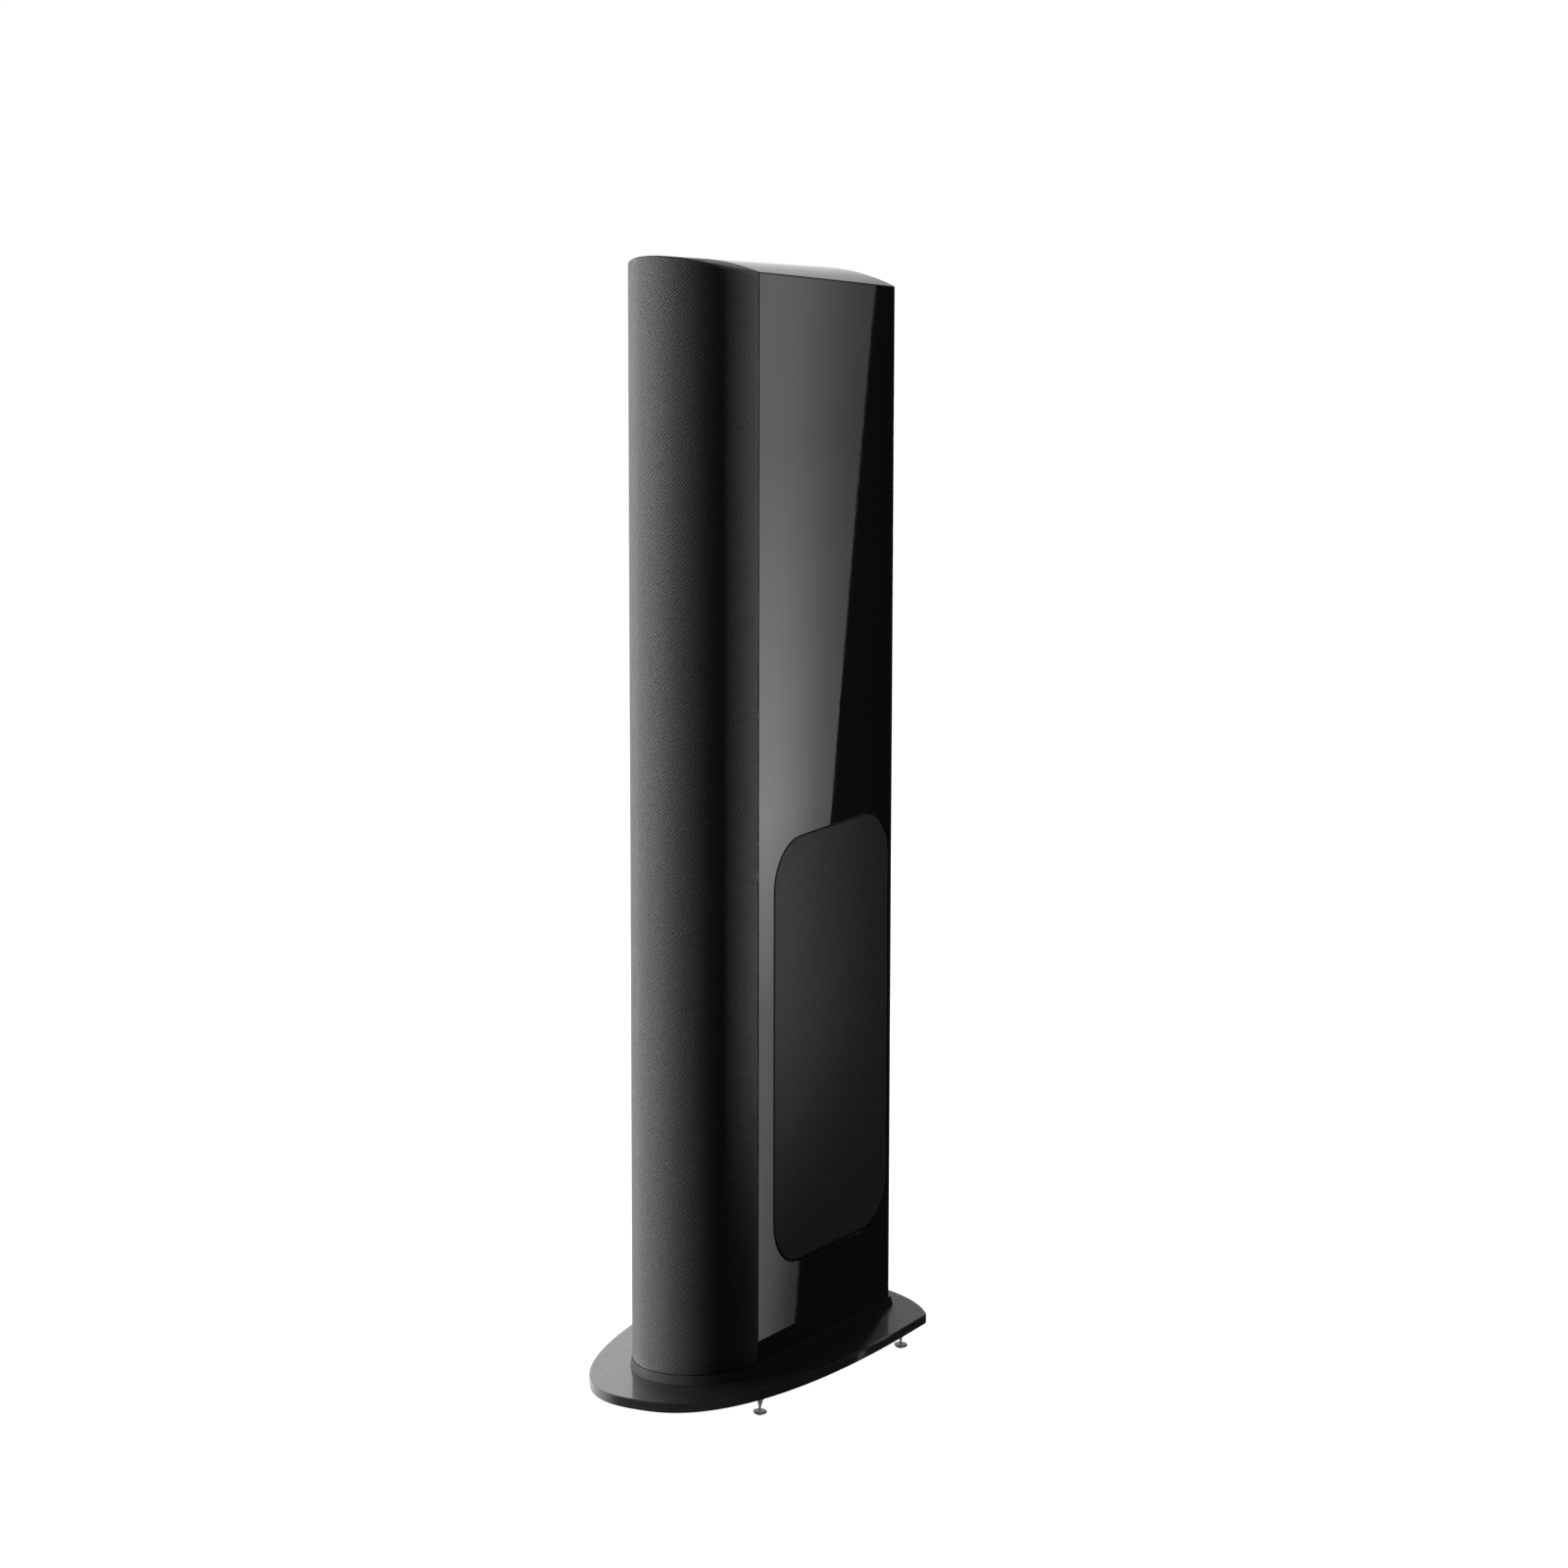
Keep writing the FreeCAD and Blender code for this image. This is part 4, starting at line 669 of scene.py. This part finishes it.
def suspensions():
    mid = [(roll_loop(*scaled_mm(*MID_ROLL)), 0), (spider_loop(*scaled_mm(*MID_SPIDER)), 0)]
    woofer = [(roll_loop(*scaled_mm(*WOOFER_ROLL)), WOOFER_STRAIGHT)]
    woofer.append((spider_loop(*scaled_mm(*WOOFER_SPIDER)), 0))
    for kind, sections in (("mid", mid), ("woofer", woofer)):
        for level in ("upper", "lower"):
            driver = level + "_" + kind
            low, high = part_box(driver + "_cone")
            place = on_front((low.z + high.z) / 2)
            suspension(driver + "_surround", sections, place, driver + "_suspension")
    radiator = [(roll_loop(*scaled_mm(*RADIATOR_ROLL)), RADIATOR_STRAIGHT)]
    for side, name in ((1, "right"), (-1, "left")):
        node = name + "_radiator_surround"
        suspension(name + "_radiator_roll", radiator, on_side(side), node)


# ---------------------------------------------------------------- camera
CAMERA_AT = (2.453, -4.6393, 1.6911)
CAMERA_TURN = math.radians(27.41)
CAMERA_DIP = math.radians(11.41)
CAMERA_ROLL = math.radians(0.115)
CAMERA_LENS = 117.6
CAMERA_SENSOR = 36.0
CAMERA_REACH = 200.0


def add_camera():
    data = bpy.data.cameras.new("camera")
    data.lens = CAMERA_LENS
    data.sensor_width = CAMERA_SENSOR
    data.clip_end = CAMERA_REACH
    camera = bpy.data.objects.new("camera", data)
    bpy.context.collection.objects.link(camera)
    aim = Matrix.Rotation(CAMERA_TURN, 4, "Z") @ Matrix.Rotation(math.pi / 2 - CAMERA_DIP, 4, "X")
    camera.matrix_world = Matrix.Translation(CAMERA_AT) @ aim @ Matrix.Rotation(CAMERA_ROLL, 4, "Z")
    bpy.context.scene.camera = camera


# ---------------------------------------------------------------- lights, cards and floor
def area_light(name, place, target, size, power, glossy=True, spread=180.0):
    data = bpy.data.lights.new(name, "AREA")
    data.shape = "RECTANGLE"
    data.size, data.size_y = size
    data.energy = power
    data.spread = math.radians(spread)
    obj = bpy.data.objects.new(name, data)
    bpy.context.collection.objects.link(obj)
    obj.location = place
    obj.rotation_euler = (Vector(target) - Vector(place)).to_track_quat("-Z", "Y").to_euler()
    obj.visible_glossy = glossy
    obj.visible_camera = False


def card(name, rows, across, upwards):
    """A glowing card seen only in reflections. rows are rows of points from its foot to its top.
    Its glow is the product of across, along a row, and upwards. Both are lists of
    (share of the way, strength)."""
    columns = len(rows[0])
    uvs = [(c / (columns - 1), r / (len(rows) - 1)) for r in range(len(rows)) for c in range(columns)]
    flat = [p for row in rows for p in row]
    obj = mesh_object(name, flat, grid_faces(len(rows), columns), uvs, smooth=False)
    g = Graph(name)
    g.tree.nodes.remove(g.shader)
    split = g.node("ShaderNodeSeparateXYZ")
    g.link(g.where.outputs["UV"], split.inputs["Vector"])
    glow = 1.0
    for axis, profile, blend in (("X", across, "EASE"), ("Y", upwards, "LINEAR")):
        peak = max(strength for _, strength in profile)
        made = g.node("ShaderNodeValToRGB")
        made.color_ramp.interpolation = blend
        stops = made.color_ramp.elements
        while len(stops) < len(profile):
            stops.new(0.5)
        for stop, (place, strength) in zip(stops, profile):
            stop.position = place
            stop.color = (*grey(strength / peak), 1)
        g.link(split.outputs[axis], made.inputs["Fac"])
        glow = g.math("MULTIPLY", g.math("MULTIPLY", made.outputs["Color"], peak), glow)
    emission = g.node("ShaderNodeEmission")
    g.link(glow, emission.inputs["Strength"])
    g.link(emission.outputs["Emission"], g.tree.nodes["Material Output"].inputs["Surface"])
    dress(obj, g.material)
    obj.visible_camera = False
    obj.visible_diffuse = False
    obj.visible_shadow = False
    obj.visible_transmission = False


# where the side panel's reflection ends, as shares of the panel's depth: at the floor, the rise
# for each metre of height, and the bow at mid height
EDGE_AT_FLOOR = 0.196
EDGE_PER_METRE = 0.523
EDGE_BOW = 0.03
# where it starts, as a share of that depth, and the card's foot, top, steps and distance
EDGE_START = -0.1
SIDE_CARD_FOOT, SIDE_CARD_TOP = -0.2, 1.4
SIDE_CARD_STEPS = 16
SIDE_CARD_FAR = 5.0
# the card's strength across and up its height, fitted until the panel's greys came out right
SIDE_CARD_FADE = [(0.12, 1.0), (1.0, 0.36)]
SIDE_CARD_BAND = [(0.0, 0.5), (0.38, 1.15), (0.51, 2.45), (0.75, 1.35), (1.0, 1.25)]
REAR_CARD_GLOW = 0.22


def side_card():
    """The grey reflection on the right side panel. Its slanting rear edge is found by mirroring the
    camera's place in the panel and looking out through the line where the reflection should end."""
    on_panel = Vector((HALF_FRONT, SEAM_Y, 0))
    eye = Vector(CAMERA_AT)
    image = eye - 2 * (eye - on_panel).dot(SIDE_FACE) * SIDE_FACE
    rows = []
    for i in range(SIDE_CARD_STEPS + 1):
        height = SIDE_CARD_FOOT + (SIDE_CARD_TOP - SIDE_CARD_FOOT) * i / SIDE_CARD_STEPS
        bow = EDGE_BOW * 4 * height * (PANEL_TOP - height) / PANEL_TOP**2
        row = []
        for s in (EDGE_START, EDGE_AT_FLOOR + EDGE_PER_METRE * height - bow):
            point = on_panel + SIDE_ALONG * (REAR_Y - SEAM_Y) * s
            point.z = height
            ray = point - image
            row.append(image + ray * ((ray.length + SIDE_CARD_FAR) / ray.length))
        rows.append(row)
    card("side_card", rows, SIDE_CARD_FADE, SIDE_CARD_BAND)


def rear_card():
    """A dim card low behind the object, which the right of the base reflects."""
    rows = [[(-0.52, 1.0, z), (0.5, 1.0, z)] for z in (0.0, 0.6)]
    card("rear_card", rows, [(0.0, 1.0), (1.0, 1.0)], [(0.0, REAR_CARD_GLOW), (1.0, REAR_CARD_GLOW)])


# how bright the room looks to diffuse rays
ROOM_FILL = 0.024


def build_world():
    """White to the camera. Reflections see a bright glow on the left and a little to the rear,
    brighter higher up, a faint glow in front, and a dim room elsewhere."""
    world = bpy.data.worlds.new("world")
    bpy.context.scene.world = world
    world.use_nodes = True
    tree = world.node_tree
    tree.nodes.clear()

    def node(kind, **values):
        made = tree.nodes.new(kind)
        for key, value in values.items():
            setattr(made, key, value)
        return made

    where = node("ShaderNodeTexCoord")

    def lobe(direction, start, end, low, high):
        """A glow round a direction, from low to high as its cosine goes from start to end."""
        cosine = node("ShaderNodeVectorMath", operation="DOT_PRODUCT")
        cosine.inputs[1].default_value = Vector(direction).normalized()
        tree.links.new(where.outputs["Generated"], cosine.inputs[0])
        glow = node("ShaderNodeMapRange", interpolation_type="SMOOTHSTEP")
        for name, value in (("From Min", start), ("From Max", end), ("To Min", low), ("To Max", high)):
            glow.inputs[name].default_value = value
        tree.links.new(cosine.outputs["Value"], glow.inputs["Value"])
        return glow.outputs["Result"]

    def combined(operation, a, b):
        made = node("ShaderNodeMath", operation=operation)
        tree.links.new(a, made.inputs[0])
        tree.links.new(b, made.inputs[1])
        return made.outputs["Value"]

    def chosen(ray, otherwise, value):
        """The value for one kind of ray, and otherwise the socket's."""
        made = node("ShaderNodeMix", data_type="FLOAT")
        made.inputs["B"].default_value = value
        tree.links.new(path.outputs[ray], made.inputs["Factor"])
        tree.links.new(otherwise, made.inputs["A"])
        return made.outputs["Result"]

    path = node("ShaderNodeLightPath")
    broad = lobe((-0.94, 0.34, 0), 0.45, 0.82, 0.028, 0.96)
    hot_spot = lobe((-0.985, 0.174, 0), 0.75, 1.0, 0.0, 0.2)
    overhead = lobe((0, 0, 1), 0.1, 0.28, 1.0, 1.4)
    in_front = lobe((0.35, -0.94, 0), -0.2, 0.6, 0.0, 0.08)
    sky = combined("ADD", combined("MULTIPLY", combined("ADD", broad, hot_spot), overhead), in_front)
    strength = chosen("Is Camera Ray", chosen("Is Diffuse Ray", sky, ROOM_FILL), 1.0)
    background = node("ShaderNodeBackground")
    background.inputs["Color"].default_value = (1, 1, 1, 1)
    tree.links.new(strength, background.inputs["Strength"])
    output = node("ShaderNodeOutputWorld")
    tree.links.new(background.outputs["Background"], output.inputs["Surface"])


FLOOR_HALF = 40.0


def build_stage():
    """A pale floor that reflections and bounced light do not see."""
    corners = [(x * FLOOR_HALF, y * FLOOR_HALF, 0) for x, y in ((-1, -1), (1, -1), (1, 1), (-1, 1))]
    floor = mesh_object("floor", corners, [(0, 1, 2, 3)], smooth=False)
    g = Graph("pale_floor")
    g.set(Roughness=0.9, Specular_IOR_Level=0.0)
    g.colour(g.tint(g.noise(g.scaled(), 3.0), grey(0.10), grey(0.12)))
    g.shader.inputs["Emission Color"].default_value = (1, 1, 1, 1)
    g.shader.inputs["Emission Strength"].default_value = 1.0
    dress(floor, g.material)
    floor.visible_glossy = False
    floor.visible_diffuse = False


def build_lights():
    """Each light's place, target, size and power."""
    rim_at, rim_to = (1.53, 2.0, 0.98), (0.07, -0.24, 0.98)
    area_light("key_left", (-2.165, -1.25, 1.0), (0, -0.1, 0.6), (2.6, 2.6), 400, glossy=False)
    area_light("rim_right", rim_at, rim_to, (0.12, 1.36), 1.8, glossy=False, spread=9.5)
    area_light("rear_strip", (-0.39, 1.7, 0.6), (0.1, 0.12, 0.03), (0.12, 0.5), 2.5)
    area_light("rear_fill", (-0.9, 3.0, 1.5), (-0.1, 0.25, 0.6), (2.0, 2.0), 200, glossy=False)
    area_light("overhead", (0, 0, 3.2), (0, 0, 0.6), (2.5, 2.5), 35, glossy=False)


# ---------------------------------------------------------------- the scene
bpy.context.scene.view_settings.view_transform = "Standard"
add_camera()
build_world()
build_stage()
build_lights()
side_card()
rear_card()
dress_cad_nodes()
front_cloth()
side_cloth(1)
side_cloth(-1)
suspensions()
